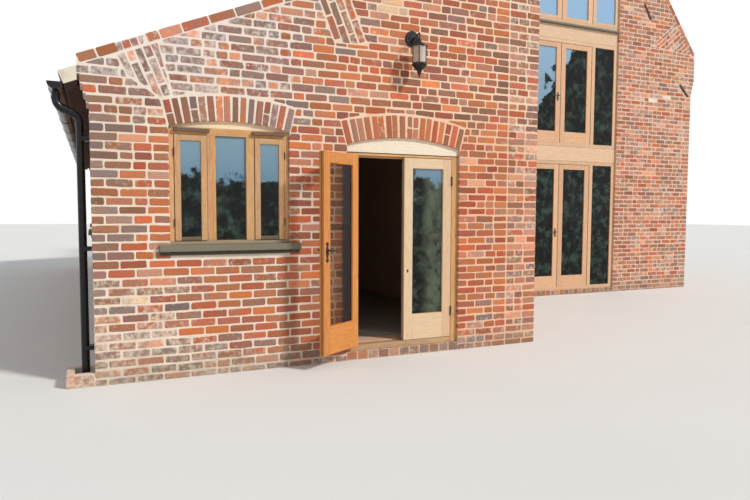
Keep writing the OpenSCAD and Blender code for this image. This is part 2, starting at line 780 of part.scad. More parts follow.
module in_screen(y0, y1) translate([screen_x, 0, 0])
    along_y(gable_y + reveal + y0, gable_y + reveal + y1) children();

// The openings or the glass of a tier's two side lights
module side_lights(t) for (l = [LIGHTS[0], LIGHTS[2]])
    translate([l[0], t[0] + screen_rail + t[3]])
        square([l[1], t[1] - t[0] - 2*screen_rail - t[3]]);

module screen_frame() placed() color("burlywood") for (t = TIERS) in_screen(0, screen_d)
    difference() {
        translate([0, t[0]]) square([screen_w, t[1] - t[0]]);
        translate([LIGHTS[1][0], t[0] + screen_rail])
            square([LIGHTS[1][1], t[1] - t[0] - 2*screen_rail]);
        side_lights(t);
    }

module each_screen_leaf() for (t = TIERS, i = [0, 1]) {
    w = (leaf_zone_w - sleaf_gap)/2;
    translate([leaf_zone_x + i*(w + sleaf_gap), t[0] + screen_rail]) {
        $leaf_size = [w, t[1] - t[0] - 2*screen_rail];
        $leaf_foot = t[2];
        children();
    }
}

module screen_light() translate([sleaf_stile, $leaf_foot])
    square([$leaf_size[0] - 2*sleaf_stile, $leaf_size[1] - $leaf_foot - sleaf_top]);

module screen_leaves() placed() color("burlywood")
    in_screen(0, leaf_t) each_screen_leaf() difference() {
        square($leaf_size);
        screen_light();
    }

module screen_glass() placed() color("lightblue", 0.5) in_screen(leaf_t/3, leaf_t/3 + pane_t) {
    each_screen_leaf() screen_light();
    for (t = TIERS) side_lights(t);
}

module screen_spandrels() placed() color("wheat") in_screen(0, board_t) {
    translate([0, ground_head_z]) square([screen_w, first_foot_z - ground_head_z]);
    translate([0, first_head_z]) square([screen_w, upper_sill_z - first_head_z]);
}

// Weathered sills under the windows and the upper screen
module sills() placed() color("gray") {
    for (w = WINDOWS) at_window(w) {
        block(-sill_horn, win_w + sill_horn, -sill_out, 0, win_sill_z - win_sill_h, win_sill_z);
        block(0, win_w, 0, reveal + win_frame_d, win_sill_z - win_sill_h, win_sill_z);
    }
    in_screen(-reveal - sill_out/3, screen_d)
        translate([0, upper_sill_z]) square([screen_w, upper_sill_t]);
}

// Three-light windows
light_z = win_sill_z + win_foot;
light_h = win_spring_z - win_head - light_z;
mid_light_x = win_jamb + cas_w + win_mull;
mid_light_w = win_w - 2*mid_light_x;

module window_frames() placed() color("burlywood") for (w = WINDOWS) at_window(w)
    along_y(reveal, reveal + win_frame_d) difference() {
        translate([0, win_sill_z]) square([win_w, win_spring_z - win_sill_z]);
        for (x = [win_jamb, win_w - win_jamb - cas_w])
            translate([x, light_z]) square([cas_w, light_h]);
        translate([mid_light_x, light_z]) square([mid_light_w, light_h]);
    }

module casement_light() translate([cas_stile, cas_foot])
    square([cas_w - 2*cas_stile, light_h - cas_foot - cas_stile]);

module each_casement() for (w = WINDOWS, x = [win_jamb, win_w - win_jamb - cas_w])
    at_window(w) translate([x, 0, light_z]) children();

module window_casements() placed() color("peru") each_casement()
    along_y(reveal - cas_lip, reveal - cas_lip + cas_t) difference() {
        square([cas_w, light_h]);
        casement_light();
    }

module window_panes() placed() color("lightblue", 0.5) {
    each_casement() along_y(reveal, reveal + pane_t) casement_light();
    for (w = WINDOWS) at_window(w) along_y(reveal + pane_t, reveal + 2*pane_t)
        translate([mid_light_x, light_z]) square([mid_light_w, light_h]);
}

// French doors
module door_frame() placed() color("burlywood") translate([door_x, 0, 0]) difference() {
    block(0, door_w, reveal, reveal + rebate_d + stop_d, threshold_z, door_head_z);
    block(door_jamb, door_w - door_jamb, reveal - 1, reveal + rebate_d,
          door_sill_z, leaf_top_z + leaf_gap);
    block(door_jamb + stop_w, door_w - door_jamb - stop_w, reveal, reveal + rebate_d + stop_d + 1,
          door_sill_z, leaf_top_z + leaf_gap - stop_w);
}

// Brick thresholds under the French doors and the screen
module thresholds() placed() color("rosybrown") {
    along_x(door_x, door_x + door_w) polygon([
        [0, 0], [wing_wall_t, 0], [wing_wall_t, slab_t], [reveal + rebate_d + stop_d, slab_t],
        [reveal + rebate_d + stop_d, threshold_z], [0, threshold_z]
    ]);
    along_x(screen_x, screen_x + screen_w) polygon([
        [gable_y, 0], [gable_y + gable_t, 0], [gable_y + gable_t, slab_t],
        [gable_y + reveal + screen_d, slab_t], [gable_y + reveal + screen_d, threshold_z],
        [gable_y, threshold_z]
    ]);
}

// The closed leaf's frame of reference, on each side of the doorway
module left_side() translate([door_x, 0, 0]) children();
module right_side() translate([door_x + door_w, 0, 0]) mirror([1, 0, 0]) children();
module swung() translate([axis_x, axis_y, 0]) rotate(-leaf_rest) translate([-axis_x, -axis_y, 0])
    children();

module leaf_light(y0, y1) block(leaf_x + leaf_stile, leaf_x + leaf_w - leaf_stile, y0, y1,
                                leaf_z + leaf_foot_rail, leaf_top_z - leaf_top_rail);

module leaf() difference() {
    block(leaf_x, leaf_x + leaf_w, reveal, reveal + leaf_t, leaf_z, leaf_top_z);
    leaf_light(reveal - 1, reveal + leaf_t + 1);
}

module pane() leaf_light(reveal + leaf_t/3, reveal + leaf_t/3 + pane_t);

module each_hinge() for (z = [low_hinge_z, high_hinge_z]) translate([axis_x, axis_y, z]) children();

// Pin, end knuckles and the plate on the jamb
module pin_side() each_hinge() {
    cylinder(r = pin_r, h = hinge_h, center = true, $fn = 48);
    for (s = [-1, 1]) {
        translate([0, 0, s*knuckle_h]) cylinder(r = knuckle_r, h = knuckle_h - 1, center = true, $fn = 48);
        block(-leaf_gap/2, -leaf_gap/2 + hinge_plate_t, 0, reveal - axis_y,
              s*knuckle_h - (knuckle_h - 1)/2, s*knuckle_h + (knuckle_h - 1)/2);
    }
    block(-leaf_gap/2, -leaf_gap/2 + hinge_plate_t, reveal - axis_y,
          reveal - axis_y + hinge_plate_w, -hinge_h/2, hinge_h/2);
}

// Middle knuckle and the plate on the leaf's edge
module leaf_hinge_side() each_hinge() difference() {
    union() {
        cylinder(r = knuckle_r, h = knuckle_h - 1, center = true, $fn = 48);
        block(leaf_gap/2 - hinge_plate_t, leaf_gap/2, 0, reveal - axis_y + hinge_plate_w,
              -(knuckle_h - 1)/2, (knuckle_h - 1)/2);
    }
    cylinder(r = pin_r + run_gap, h = hinge_h, center = true, $fn = 48);
}

module hinge_pins() placed() color("dimgray") {
    left_side() pin_side();
    right_side() pin_side();
}

module left_leaf() placed() color("orange") left_side() swung() difference() {
    leaf();
    translate([spindle_x, reveal - 1, lever_z]) rotate([-90, 0, 0])
        cylinder(r = neck_r + 2, h = leaf_t + 2, $fn = 48);
}

module left_leaf_pane() placed() color("lightblue", 0.5) left_side() swung() pane();

module left_leaf_hinges() placed() color("dimgray") left_side() swung() leaf_hinge_side();

module right_leaf() placed() color("burlywood") right_side() leaf();

module right_leaf_pane() placed() color("lightblue", 0.5) right_side() pane();

module right_leaf_hinges() placed() color("dimgray") right_side() leaf_hinge_side();

// Backplates on both faces of the left leaf, and the lever pair on one spindle
plate_t = 4;

module lever_plates() placed() color("black") left_side() swung()
    for (y = [reveal - plate_t, reveal + leaf_t]) difference() {
        block(spindle_x - 18, spindle_x + 18, y, y + plate_t, lever_z - 110, lever_z + 80);
        translate([spindle_x, y - 1, lever_z]) rotate([-90, 0, 0])
            cylinder(r = neck_r + run_gap, h = plate_t + 2, $fn = 48);
    }

module lever_handle() placed() color("black") left_side() swung()
    translate([spindle_x, reveal - lever_out, lever_z]) {
        rotate([-90, 0, 0]) cylinder(r = neck_r, h = leaf_t + 2*lever_out, $fn = 48);
        for (y = [0, leaf_t + 2*lever_out - 2*neck_r])
            translate([-lever_len, y, -neck_r]) cube([lever_len, 2*neck_r, 2*neck_r]);
    }

wing_front_wall();
wing_wall_over_door();
wing_left_wall();
wing_rear_wall();
barn_left_wall();
barn_right_wall();
barn_rear_gable();
barn_front_gable_sides();
barn_front_gable_top();
wing_coping();
barn_coping();
kneelers();
door_arch();
window_arches();
arch_boards();
ground_floors();
upper_floors();
wing_roof();
barn_roof_left();
barn_roof_right();
ridge_tiles();
eaves_boards();
gutters();
downpipes();
gully_surround();
lantern_body();
lantern_panes();
tie_bars();
screen_frame();
screen_leaves();
screen_glass();
screen_spandrels();
sills();
window_frames();
window_casements();
window_panes();
door_frame();
thresholds();
hinge_pins();
left_leaf();
left_leaf_pane();
left_leaf_hinges();
lever_plates();
lever_handle();
right_leaf();
right_leaf_pane();
right_leaf_hinges();
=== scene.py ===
import math
import random

import bmesh
import bpy
import numpy as np
from bmesh.types import BMFace, BMVert
from bpy.props import FloatProperty, FloatVectorProperty, PointerProperty
from bpy.types import Operator, Panel, PropertyGroup
from mathutils import Matrix, Vector


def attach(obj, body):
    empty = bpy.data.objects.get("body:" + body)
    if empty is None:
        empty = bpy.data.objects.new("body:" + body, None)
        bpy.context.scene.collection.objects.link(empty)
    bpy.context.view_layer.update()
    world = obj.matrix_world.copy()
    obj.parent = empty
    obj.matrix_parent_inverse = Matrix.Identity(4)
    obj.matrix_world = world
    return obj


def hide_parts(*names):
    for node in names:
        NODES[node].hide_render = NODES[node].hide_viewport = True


bl_info = {
    "name": "Brick Barn House",
    "version": (1, 0, 0),
    "blender": (4, 5, 0),
    "location": "View3D > Sidebar > Barn House",
    "description": "Dresses a brick barn house with bricks, tiles, oak joinery and ironwork",
    "category": "Add Mesh",
}

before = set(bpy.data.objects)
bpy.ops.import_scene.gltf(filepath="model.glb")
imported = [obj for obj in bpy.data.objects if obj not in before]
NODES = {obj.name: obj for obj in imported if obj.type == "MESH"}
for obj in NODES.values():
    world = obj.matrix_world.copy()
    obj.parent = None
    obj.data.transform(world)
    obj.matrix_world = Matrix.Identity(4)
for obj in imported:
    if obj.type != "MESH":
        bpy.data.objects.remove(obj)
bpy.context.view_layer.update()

# Shapes below are worked out in millimetres on the site: X along the front from the
# wing's outer corner, Y back from the wing's front face, Z up from the ground.
MM = 0.001
SITE = Vector((7.570, 7.750, 0.0))
WING_W, WING_WALL, WING_VERGE, WING_PITCH = 4240, 330, 2828, math.radians(22.5)
BARN_IN, HOUSE_W, BARN_MID = 4640, 10900, 7570
BARN_VERGE, BARN_PITCH = 4725, math.radians(51.7)
GABLE_Y, GABLE_T, BACK_Y = 3100, 345, 12400
COPING_T, ROOF_DROP, ROOF_FOOT = 75, 83, 193
WING_DATUM, BARN_DATUM = -18, -50
WING_KNEELER, BARN_KNEELER = (2400, 22), (3850, 18)
RING, REVEAL = 237, 30
WIN_X, WIN_W, SILL_FOOT, WIN_SPRING, WIN_RISE = 627, 1100, 1105, 2250, 69
WINDOWS = [
    (WIN_X, 0, 0, 0), (0, 5300, 0, -90), (0, 9700, 0, -90), (10900, 5400, 0, 90),
    (10900, 9000, 0, 90), (8120, 12400, 0, 180), (8120, 12400, 2500, 180),
]
DOOR_X, DOOR_W, DOOR_SPRING, DOOR_RISE = 2309, 1307, 2170, 91
SCREEN_X, SCREEN_W, SCREEN_SPRING, SCREEN_RISE = 6326, 2654, 6150, 230

LEFT, RIGHT, FRONT, BACK, UP = (-1, 0, 0), (1, 0, 0), (0, -1, 0), (0, 1, 0), (0, 0, 1)
FRONT_FACE, BACK_FACE = (RIGHT, UP, FRONT), (RIGHT, UP, BACK)
LEFT_FACE, RIGHT_FACE = (BACK, UP, LEFT), (BACK, UP, RIGHT)
QUARTER = math.pi/2


def wing_z(x, drop=0.0):
    return WING_VERGE + x*math.tan(WING_PITCH) - drop/math.cos(WING_PITCH)


def barn_z(x, drop=0.0):
    run = (HOUSE_W - WING_W)/2 - abs(x - BARN_MID)
    return BARN_VERGE + run*math.tan(BARN_PITCH) - drop/math.cos(BARN_PITCH)


def site(x=0.0, y=0.0, z=0.0, turn=0.0):
    """From millimetres about a point of the site to the model's metres."""
    place = Matrix.Translation(Vector((x, y, z))*MM - SITE)
    return place @ Matrix.Rotation(math.radians(turn), 4, "Z") @ Matrix.Scale(MM, 4)


def facing(along, up, out):
    """From (along, up, out) on a face to the site's directions."""
    return Matrix((along, up, out)).transposed().to_4x4()


def plane(x, y, z, axes):
    """From (along, up, out) on a face to the model's metres."""
    return site(x, y, z) @ facing(*axes)


def spot(x, y, z, turn=0.0, axis="X", size=(1, 1, 1)):
    """A place in millimetres, with a turn in radians and a size."""
    turned = Matrix.Translation((x, y, z)) @ Matrix.Rotation(turn, 4, axis)
    return turned @ Matrix.Diagonal((*size, 1))


def share(value):
    """A value held between 0 and 1."""
    return max(0.0, min(1.0, value))


def linear(red, green, blue, alpha=1.0):
    """A colour read off, 0 to 255, as the shader takes it."""
    found = []
    for part in (red, green, blue):
        part = share(part/255)
        found.append(part/12.92 if part <= 0.04045 else ((part + 0.055)/1.055)**2.4)
    return (*found, alpha)


def chosen(name, red=1.0, green=1.0, blue=1.0):
    """A colour from the settings as the shader takes it, times a shade."""
    colour = getattr(bpy.context.scene.barn_colours, name)
    return (colour[0]*red, colour[1]*green, colour[2]*blue, 1.0)


def by_eye(name):
    """A colour from the settings on the scale of 0 to 255."""
    return tuple(255*(12.92*c if c <= 0.0031308 else 1.055*c**(1/2.4) - 0.055)
                 for c in chosen(name)[:3])


# Shader expressions


class Socket:
    """One output of a node, used in Python sums that add Math nodes."""

    def __init__(self, nodes, output):
        self.nodes = nodes
        self.output = output

    def math(self, operation, *values):
        return self.nodes.node("ShaderNodeMath", values, operation=operation)

    def __add__(self, other):
        return self.math("ADD", self, other)

    def __sub__(self, other):
        return self.math("SUBTRACT", self, other)

    def __rsub__(self, other):
        return self.math("SUBTRACT", other, self)

    def __mul__(self, other):
        return self.math("MULTIPLY", self, other)

    __radd__ = __add__
    __rmul__ = __mul__


class Nodes:
    """The node tree of a material or world, under construction."""

    def __init__(self, owner):
        owner.use_nodes = True
        self.tree = owner.node_tree
        self.tree.nodes.clear()

    def put(self, socket, value):
        if isinstance(value, Socket):
            self.tree.links.new(value.output, socket)
        else:
            socket.default_value = value

    def node(self, kind, values=(), out=0, **settings):
        """Adds a node: its settings first, then the values or links of its sockets."""
        node = self.tree.nodes.new(kind)
        for key, value in settings.items():
            setattr(node, key, value)
        for socket, value in values.items() if isinstance(values, dict) else enumerate(values):
            self.put(node.inputs[socket], value)
        return Socket(self, node.outputs[out]) if node.outputs else None


class Finish(Nodes):
    """A material under construction, with its Principled shader."""

    def __init__(self, name, **constants):
        self.material = bpy.data.materials.new(name)
        super().__init__(self.material)
        shader = self.node("ShaderNodeBsdfPrincipled")
        self.inputs = shader.output.node.inputs
        self.node("ShaderNodeOutputMaterial", {"Surface": shader})
        self.done(**constants)

    def place(self):
        return self.node("ShaderNodeTexCoord", out="Object")

    def position(self):
        """How far a point is across, back and up, as three sockets."""
        split = self.node("ShaderNodeSeparateXYZ", (self.place(),))
        return [Socket(self, part) for part in split.output.node.outputs]

    def attribute(self, name, out="Color"):
        return self.node("ShaderNodeAttribute", out=out, attribute_name=name)

    def noise(self, scale, detail=2.0, rough=0.5, vector=None, warp=0.0):
        values = {
            "Scale": scale, "Detail": detail, "Roughness": rough,
            "Vector": vector or self.place(), "Distortion": warp,
        }
        return self.node("ShaderNodeTexNoise", values, "Fac")

    def stretched(self, vector, scale):
        return self.node("ShaderNodeVectorMath", (vector, scale), operation="MULTIPLY")

    def between(self, value, low, high):
        """Smooth step of value from 0 at low to 1 at high."""
        return self.node("ShaderNodeMapRange", (value, low, high),
                         interpolation_type="SMOOTHSTEP")

    def mix(self, factor, first, second, how="MIX"):
        return self.node("ShaderNodeMix", {0: factor, 6: first, 7: second}, 2,
                         data_type="RGBA", blend_type=how, clamp_factor=True)

    def stain(self, base, colour, value, low, high, amount):
        """Lays a colour on another where a value passes from low to high."""
        return self.mix(self.between(value, low, high)*amount, base, colour)

    def bump(self, height, distance):
        values = {"Strength": 1.0, "Distance": distance, "Height": height}
        self.done(Normal=self.node("ShaderNodeBump", values))

    def done(self, **sockets):
        """Sets or links sockets of the shader, and gives the material."""
        for name, value in sockets.items():
            self.put(self.inputs[name.replace("_", " ")], value)
        return self.material


FINISHES = {}


def finish(name):
    """The named material, made when it is first asked for."""
    if name not in FINISHES:
        FINISHES[name] = MAKERS[name](name)
    return FINISHES[name]


# Mesh operators in the forms that the pieces use


def only(geom, kind):
    return [part for part in geom if isinstance(part, kind)]


def strip(bm, outline, along):
    """Draws an open outline out along a vector, and gives its faces."""
    verts = [bm.verts.new(point) for point in outline]
    edges = [bm.edges.new(ends) for ends in zip(verts, verts[1:])]
    grown = bmesh.ops.extrude_edge_only(bm, edges=edges)["geom"]
    bmesh.ops.translate(bm, verts=only(grown, BMVert), vec=along)
    return only(grown, BMFace)


def second_side(bm, faces, kind=BMVert):
    """Closes faces into a shell, and gives the vertices or faces of its second side."""
    grown = bmesh.ops.extrude_face_region(bm, geom=faces, use_keep_orig=True)["geom"]
    return only(grown, kind)


def cone(bm, at, segments, low, high, deep):
    bmesh.ops.create_cone(bm, cap_ends=True, segments=segments, radius1=low, radius2=high,
                          depth=deep, matrix=at)


def bevel(bm, edges, offset, segments=1):
    bmesh.ops.bevel(bm, geom=edges, offset=offset, offset_type="OFFSET", segments=segments,
                    profile=0.5, affect="EDGES", clamp_overlap=True, material=-1)


def block(bm, at, offset, segments=1):
    """A box with bevelled edges."""
    made = bmesh.ops.create_cube(bm, size=1.0, matrix=at)["verts"]
    edges = dict.fromkeys(edge for vert in made for edge in vert.link_edges)
    bevel(bm, list(edges), offset, segments)


def outward(bm):
    bmesh.ops.recalc_face_normals(bm, faces=bm.faces[:])


def shaded_smooth(bm, angle):
    """Smooth shading across edges that turn by less than an angle."""
    for face in bm.faces:
        face.smooth = True
    for edge in bm.edges:
        edge.smooth = edge.is_manifold and edge.calc_face_angle(0.0) < angle


def mesh_of(bm, name):
    mesh = bpy.data.meshes.new(name)
    bm.to_mesh(mesh)
    bm.free()
    return mesh


# Pieces


def linked(name, data):
    """A new object in the scene."""
    made = bpy.data.objects.new(name, data)
    bpy.context.scene.collection.objects.link(made)
    return made


def to_piece(bm, name, matrix, finish_name, nodes=(), body="building", smooth=None):
    """Places a bmesh and makes it a piece."""
    bm.transform(matrix)
    outward(bm)
    if smooth is not None:
        shaded_smooth(bm, smooth)
    to_object(mesh_of(bm, name), name, finish_name, nodes, body)


def to_object(mesh, name, finish_name, nodes=(), body="building"):
    """Makes a mesh a piece that rides on a body, with its finish, for the nodes it replaces."""
    piece = linked(name, mesh)
    mesh.materials.clear()
    mesh.materials.append(finish(finish_name))
    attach(piece, body)
    if nodes:
        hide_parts(*nodes)


def dress(finish_name, *names):
    """Gives CAD nodes that stay in view their finish."""
    for name in names:
        slots = NODES[name].data.materials
        slots.clear()
        slots.append(finish(finish_name))


def copies(template, name, matrices, finish_name, nodes=(), tones=()):
    """One piece from copies of a template mesh, each with its own place and tone."""
    bm = bmesh.new()
    for _ in matrices:
        bm.from_mesh(template)
    mesh = mesh_of(bm, name)
    count = len(template.vertices)
    corners = np.ones((count, 4))
    flat = np.empty(count*3, np.float32)
    template.vertices.foreach_get("co", flat)
    corners[:, :3] = flat.reshape(-1, 3)
    turns = np.array([np.array(m) for m in matrices])
    placed = np.einsum("kij,nj->kni", turns, corners)[:, :, :3]
    mesh.vertices.foreach_set("co", placed.reshape(-1).astype(np.float32))
    if tones:
        layer = mesh.attributes.new("tone", "FLOAT_COLOR", "POINT")
        colours = np.repeat(np.array(tones, np.float32), count, 0)
        layer.data.foreach_set("color", colours.reshape(-1))
    mesh.update()
    to_object(mesh, name, finish_name, nodes)


# Bricks

# Millimetres: the rounded rim of a brick's face, the joint beside other brickwork, how much
# a corner wears off, and how near two corners are one. SMALLEST is an area worth laying.
RIM_WIDTH, BESIDE, WEAR, NEAR, SMALLEST = 7.0, 7, 7.5, 5, 1500
# The least offset of upright joints, the shortest bat, the longest single brick, and the
# longest stretch that two bricks fill.
STAGGER, SHORTEST, LONGEST, PAIR = 24, 24, 238, 330
# Half of a corner's angle, in radians, from which it is too blunt to wear
BLUNT = 1.31
BRICK_COLOURS = {
    "red": (178, 98, 70), "orange": (188, 114, 74), "salmon": (200, 144, 116),
    "plum": (150, 106, 94), "grey": (142, 116, 107), "buff": (204, 174, 144),
    "brown": (162, 108, 80), "rose": (190, 132, 110), "umber": (140, 97, 75),
    "ember": (172, 84, 54), "cream": (242, 226, 212),
}


def brick_tone(rng, mood, smear):
    """A colour from the weights of a wall's mood. Alpha is how much lime lies on it."""
    family = rng.choices(list(mood), list(mood.values()))[0]
    base = BRICK_COLOURS[family]
    light = rng.gauss(1.0, 0.075)
    warm = rng.gauss(0.0, 5.0)
    colour = (base[0]*light + warm, base[1]*light, base[2]*light - warm)
    return linear(*colour, share(rng.gauss(smear, 0.2)))


def neighbours(items):
    """Each item with the next one, round to the first."""
    return zip(items, items[1:] + items[:1])


def towards(a, b, part):
    return (a[0] + (b[0] - a[0])*part, a[1] + (b[1] - a[1])*part)


def cut(points, at, away, margin=0.0):
    """The part of a convex outline on the side that away points to, margin further off."""
    found = []
    gaps = [(p[0] - at[0])*away[0] + (p[1] - at[1])*away[1] - margin for p in points]
    for (here, gap), (after, next_gap) in neighbours(list(zip(points, gaps))):
        if gap >= 0:
            found.append(here)
        if gap*next_gap < 0:
            found.append(towards(here, after, gap/(gap - next_gap)))
    return found


def area(points):
    total = 0.0
    for a, b in neighbours(points):
        total += a[0]*b[1] - b[0]*a[1]
    return abs(total)/2


def edges_of(polygon):
    """Each edge's point and its direction to the inside, for a polygon drawn anticlockwise."""
    for a, b in neighbours(polygon):
        length = math.dist(a, b)
        yield a, ((a[1] - b[1])/length, (b[0] - a[0])/length)


def outside(points, polygon, margin):
    """The two largest parts of a brick that are clear of a convex hole."""
    found = []
    while len(points) > 2 and len(found) < 2:
        best, rest = [], []
        for at, inward in edges_of(polygon):
            part = cut(points, at, (-inward[0], -inward[1]), margin)
            if len(part) > 2 and (not best or area(part) > area(best)):
                best, rest = part, cut(points, at, inward, 4)
        if best:
            found.append(best)
        points = rest
    return found


def inside(points, polygon, margin):
    for at, inward in edges_of(polygon):
        if len(points) > 2:
            points = cut(points, at, inward, margin)
    return points


def clear_of(points, hole):
    """The parts of a brick beside a wedge of other brickwork, or None where they don't meet."""
    if len(points) > 2 and len(inside(points, hole, 0)) > 2:
        return outside(points, hole, BESIDE) or [[]]
    return None


class Arch:
    """A segmental arch on a wall's face."""

    def __init__(self, left, span, spring, rise):
        self.middle, self.span, self.spring, self.rise = left + span/2, span, spring, rise
        self.radius = (span*span/4 + rise*rise)/(2*rise)
        self.centre = spring + rise - self.radius
        self.half = math.asin(span/2/self.radius)

    def width(self, z):
        """Half the ring's width at a height, or 0 off the ring."""
        up = z - self.centre
        if z <= self.spring or up >= self.radius + RING:
            return 0.0
        return min(up*math.tan(self.half), math.sqrt((self.radius + RING)**2 - up*up))

    def clear(self, points):
        """A brick cut to the ring's back or to its splayed end, whichever leaves more."""
        x = sum(p[0] for p in points)/len(points) - self.middle
        z = sum(p[1] for p in points)/len(points) - self.centre
        below = z < self.spring - self.centre - 90
        if below or math.hypot(x, z) > self.radius + RING + 190 or abs(x) > self.span/2 + 320:
            return points
        centre = (self.middle, self.centre)
        side = 1 if x > 0 else -1
        slant = (side*math.cos(self.half), -math.sin(self.half))
        turn = max(-self.half, min(self.half, math.atan2(x, z)))
        ray = (math.sin(turn), math.cos(turn))
        beside = cut(points, centre, slant, 9)
        above = cut(points, centre, ray, self.radius + RING + BESIDE)
        return max((beside, above), key=lambda p: area(p) if len(p) > 2 else 0)

    def ring(self, rng, count, mood, smear):
        """Bricks on end, square to the arch, with the joints between them widening upwards."""
        bricks = []
        step = 2*self.half/count
        for i in range(count):
            turn = -self.half + (i + 0.5)*step + rng.gauss(0, 0.0012)
            half = self.radius*step/2 - 6.0 + rng.gauss(0, 0.8)
            out = (math.sin(turn), math.cos(turn))
            side = (out[1], -out[0])
            foot = self.radius - 3
            head = self.radius + 222 + rng.gauss(0, 3)
            spans = [(foot, head)]
            if rng.random() < 0.16:
                middle = foot + rng.choice((104, 112))
                spans = [(foot, middle - 5), (middle + 5, head)]
            for low, high in spans:
                belly = (low + high)/2
                corners = [(
                    self.middle + out[0]*r + side[0]*half*s + rng.gauss(0, 0.8),
                    self.centre + out[1]*r + side[1]*half*s + rng.gauss(0, 0.8),
                ) for r, s in ((low, -1), (low, 1), (belly, 1.03), (high, 1), (high, -1),
                               (belly, -1.03))]
                bricks.append((corners, brick_tone(rng, mood, smear), 3 + rng.gauss(0, 0.9)))
        return bricks


class Bond:
    """Lays courses of stretchers and headers, keeping upright joints apart."""

    def __init__(self, sizes, seed):
        self.rng = random.Random(seed)
        self.course = sizes.course/MM
        self.lengths = (sizes.stretcher/MM, sizes.header/MM)
        self.joint = sizes.joint/MM

    def next_length(self, s, first, parity, last, headers):
        """A stretcher or header, whichever keeps clear of the joints of the last course."""
        rng = self.rng
        choice = list(self.lengths)
        if parity if first else rng.random() < headers:
            choice.reverse()
        choice = [c + rng.gauss(0, 3.5) for c in choice]
        gaps = []
        for c in choice:
            joint = s + c + self.joint/2
            gaps.append(min([abs(joint - p) for p in last] or [999]))
        return choice[0 if gaps[0] > STAGGER or gaps[0] >= gaps[1] else 1]

    def row(self, start, end, parity, last, headers=0.42):
        """Lengths of one course between two ends, as (left, right) pairs."""
        found = []
        s = start
        while end - s > SHORTEST:
            left = end - s
            if left <= LONGEST:
                found.append((s, end))
                break
            if left < PAIR:
                length = self.rng.choice((left/2, self.lengths[1]))
            else:
                length = self.next_length(s, not found, parity, last, headers)
            found.append((s, s + length))
            s += length + self.joint + self.rng.gauss(0, 1.8)
        return found

    def brick(self, left, right, foot, wave=0.0, mid=True):
        """A hand-made brick's uneven outline."""
        rng = self.rng
        head = foot + self.course - self.joint + rng.gauss(0, 1.2)
        foot = foot + rng.gauss(0, 1.0)
        tilt = rng.gauss(0, 1.1)
        points = [(left, foot - tilt), (right, foot + tilt), (right, head + tilt), (left, head - tilt)]
        if mid and right - left > 150:
            middle = (left + right)/2 + rng.gauss(0, 20)
            points.insert(1, (middle, foot + rng.gauss(0, 1.3)))
            points.insert(4, (middle, head + rng.gauss(0, 1.3)))
        return [(x + rng.gauss(0, 1.2), z + wave + rng.gauss(0, 0.8)) for x, z in points]


def corner_tone(corner, row, mood, smear):
    """Both faces of a corner brick take one colour."""
    return brick_tone(random.Random(f"{corner}{row}"), mood, smear)


def soften(points, reach):
    """Takes the corners off an outline, more where they are sharp, as on a worn brick."""
    found = []
    for before, (here, after) in zip(points[-1:] + points, neighbours(points)):
        back, on = math.dist(here, before), math.dist(here, after)
        dot = (before[0] - here[0])*(after[0] - here[0]) + (before[1] - here[1])*(after[1] - here[1])
        corner = math.acos(max(-1.0, min(1.0, dot/(back*on))))/2
        if corner > BLUNT:
            found.append(here)
            continue
        need = max(reach, RIM_WIDTH*math.tan((math.pi/2 - corner)/2)/math.sin(corner) + 1.5)
        for other, length in ((before, back), (after, on)):
            found.append(towards(here, other, min(need, 0.4*length)/length))
    return found


def rim_room(points):
    """How wide a rim an outline can take before it meets itself."""
    turns, lengths = [], []
    for before, (here, after) in zip(points[-1:] + points, neighbours(points)):
        a = (here[0] - before[0], here[1] - before[1])
        b = (after[0] - here[0], after[1] - here[1])
        turns.append(math.tan(abs(math.atan2(a[0]*b[1] - a[1]*b[0], a[0]*b[0] + a[1]*b[1]))/2))
        lengths.append(math.hypot(*b))
    room = 0.42*area(points)/max(lengths)
    for length, (turn, next_turn) in zip(lengths, neighbours(turns)):
        room = min(room, 0.8*length/(turn + next_turn + 0.001))
    return room


def clean(points):
    """Drops corners that almost meet."""
    kept = []
    for p in points:
        if not kept or math.dist(p, kept[-1]) > NEAR:
            kept.append(p)
    if len(kept) > 2 and math.dist(kept[0], kept[-1]) <= NEAR:
        kept.pop()
    return kept


def open_runs(bond, wall, mid):
    """The stretches of a course between openings, each with the wall's corners it ends at."""
    runs = [(*wall["span"](mid), wall["corners"])]
    holes = [(a, b) for a, b, low, high in wall["holes"] if low < mid < high]
    for arch in wall["arches"]:
        half = arch.width(mid)
        if half:
            holes.append((arch.middle - half + 34, arch.middle + half - 34))
    for split in wall["splits"]:
        holes.append((split - bond.joint/2, split + bond.joint/2))
    for a, b in sorted(holes):
        lap = 3 if b - a > 50 else 0
        rest = []
        for start, end, ends in runs:
            if b <= start or a >= end:
                rest.append((start, end, ends))
                continue
            if a > start:
                rest.append((start, a + lap, (ends[0], None)))
            if b < end:
                rest.append((b - lap, end, (None, ends[1])))
        runs = rest
    return runs


def trimmed(wall, points):
    """A brick cut to the wall's slopes, arches and wedges, then the parts of it to spare."""
    points = cut(points, (0, 0), (0, 1), 1.5)
    for slope in wall["slopes"]:
        if len(points) > 2:
            points = cut(points, *slope)
    for arch in wall["arches"]:
        if len(points) > 2:
            points = arch.clear(points)
    parts = [points]
    for hole in wall["wedges"]:
        parts = clear_of(parts[0], hole) or parts
    for hole in wall["wedges"]:
        parts = [(clear_of(part, hole) or [part])[0] for part in parts]
    return [clean(part) for part in parts]


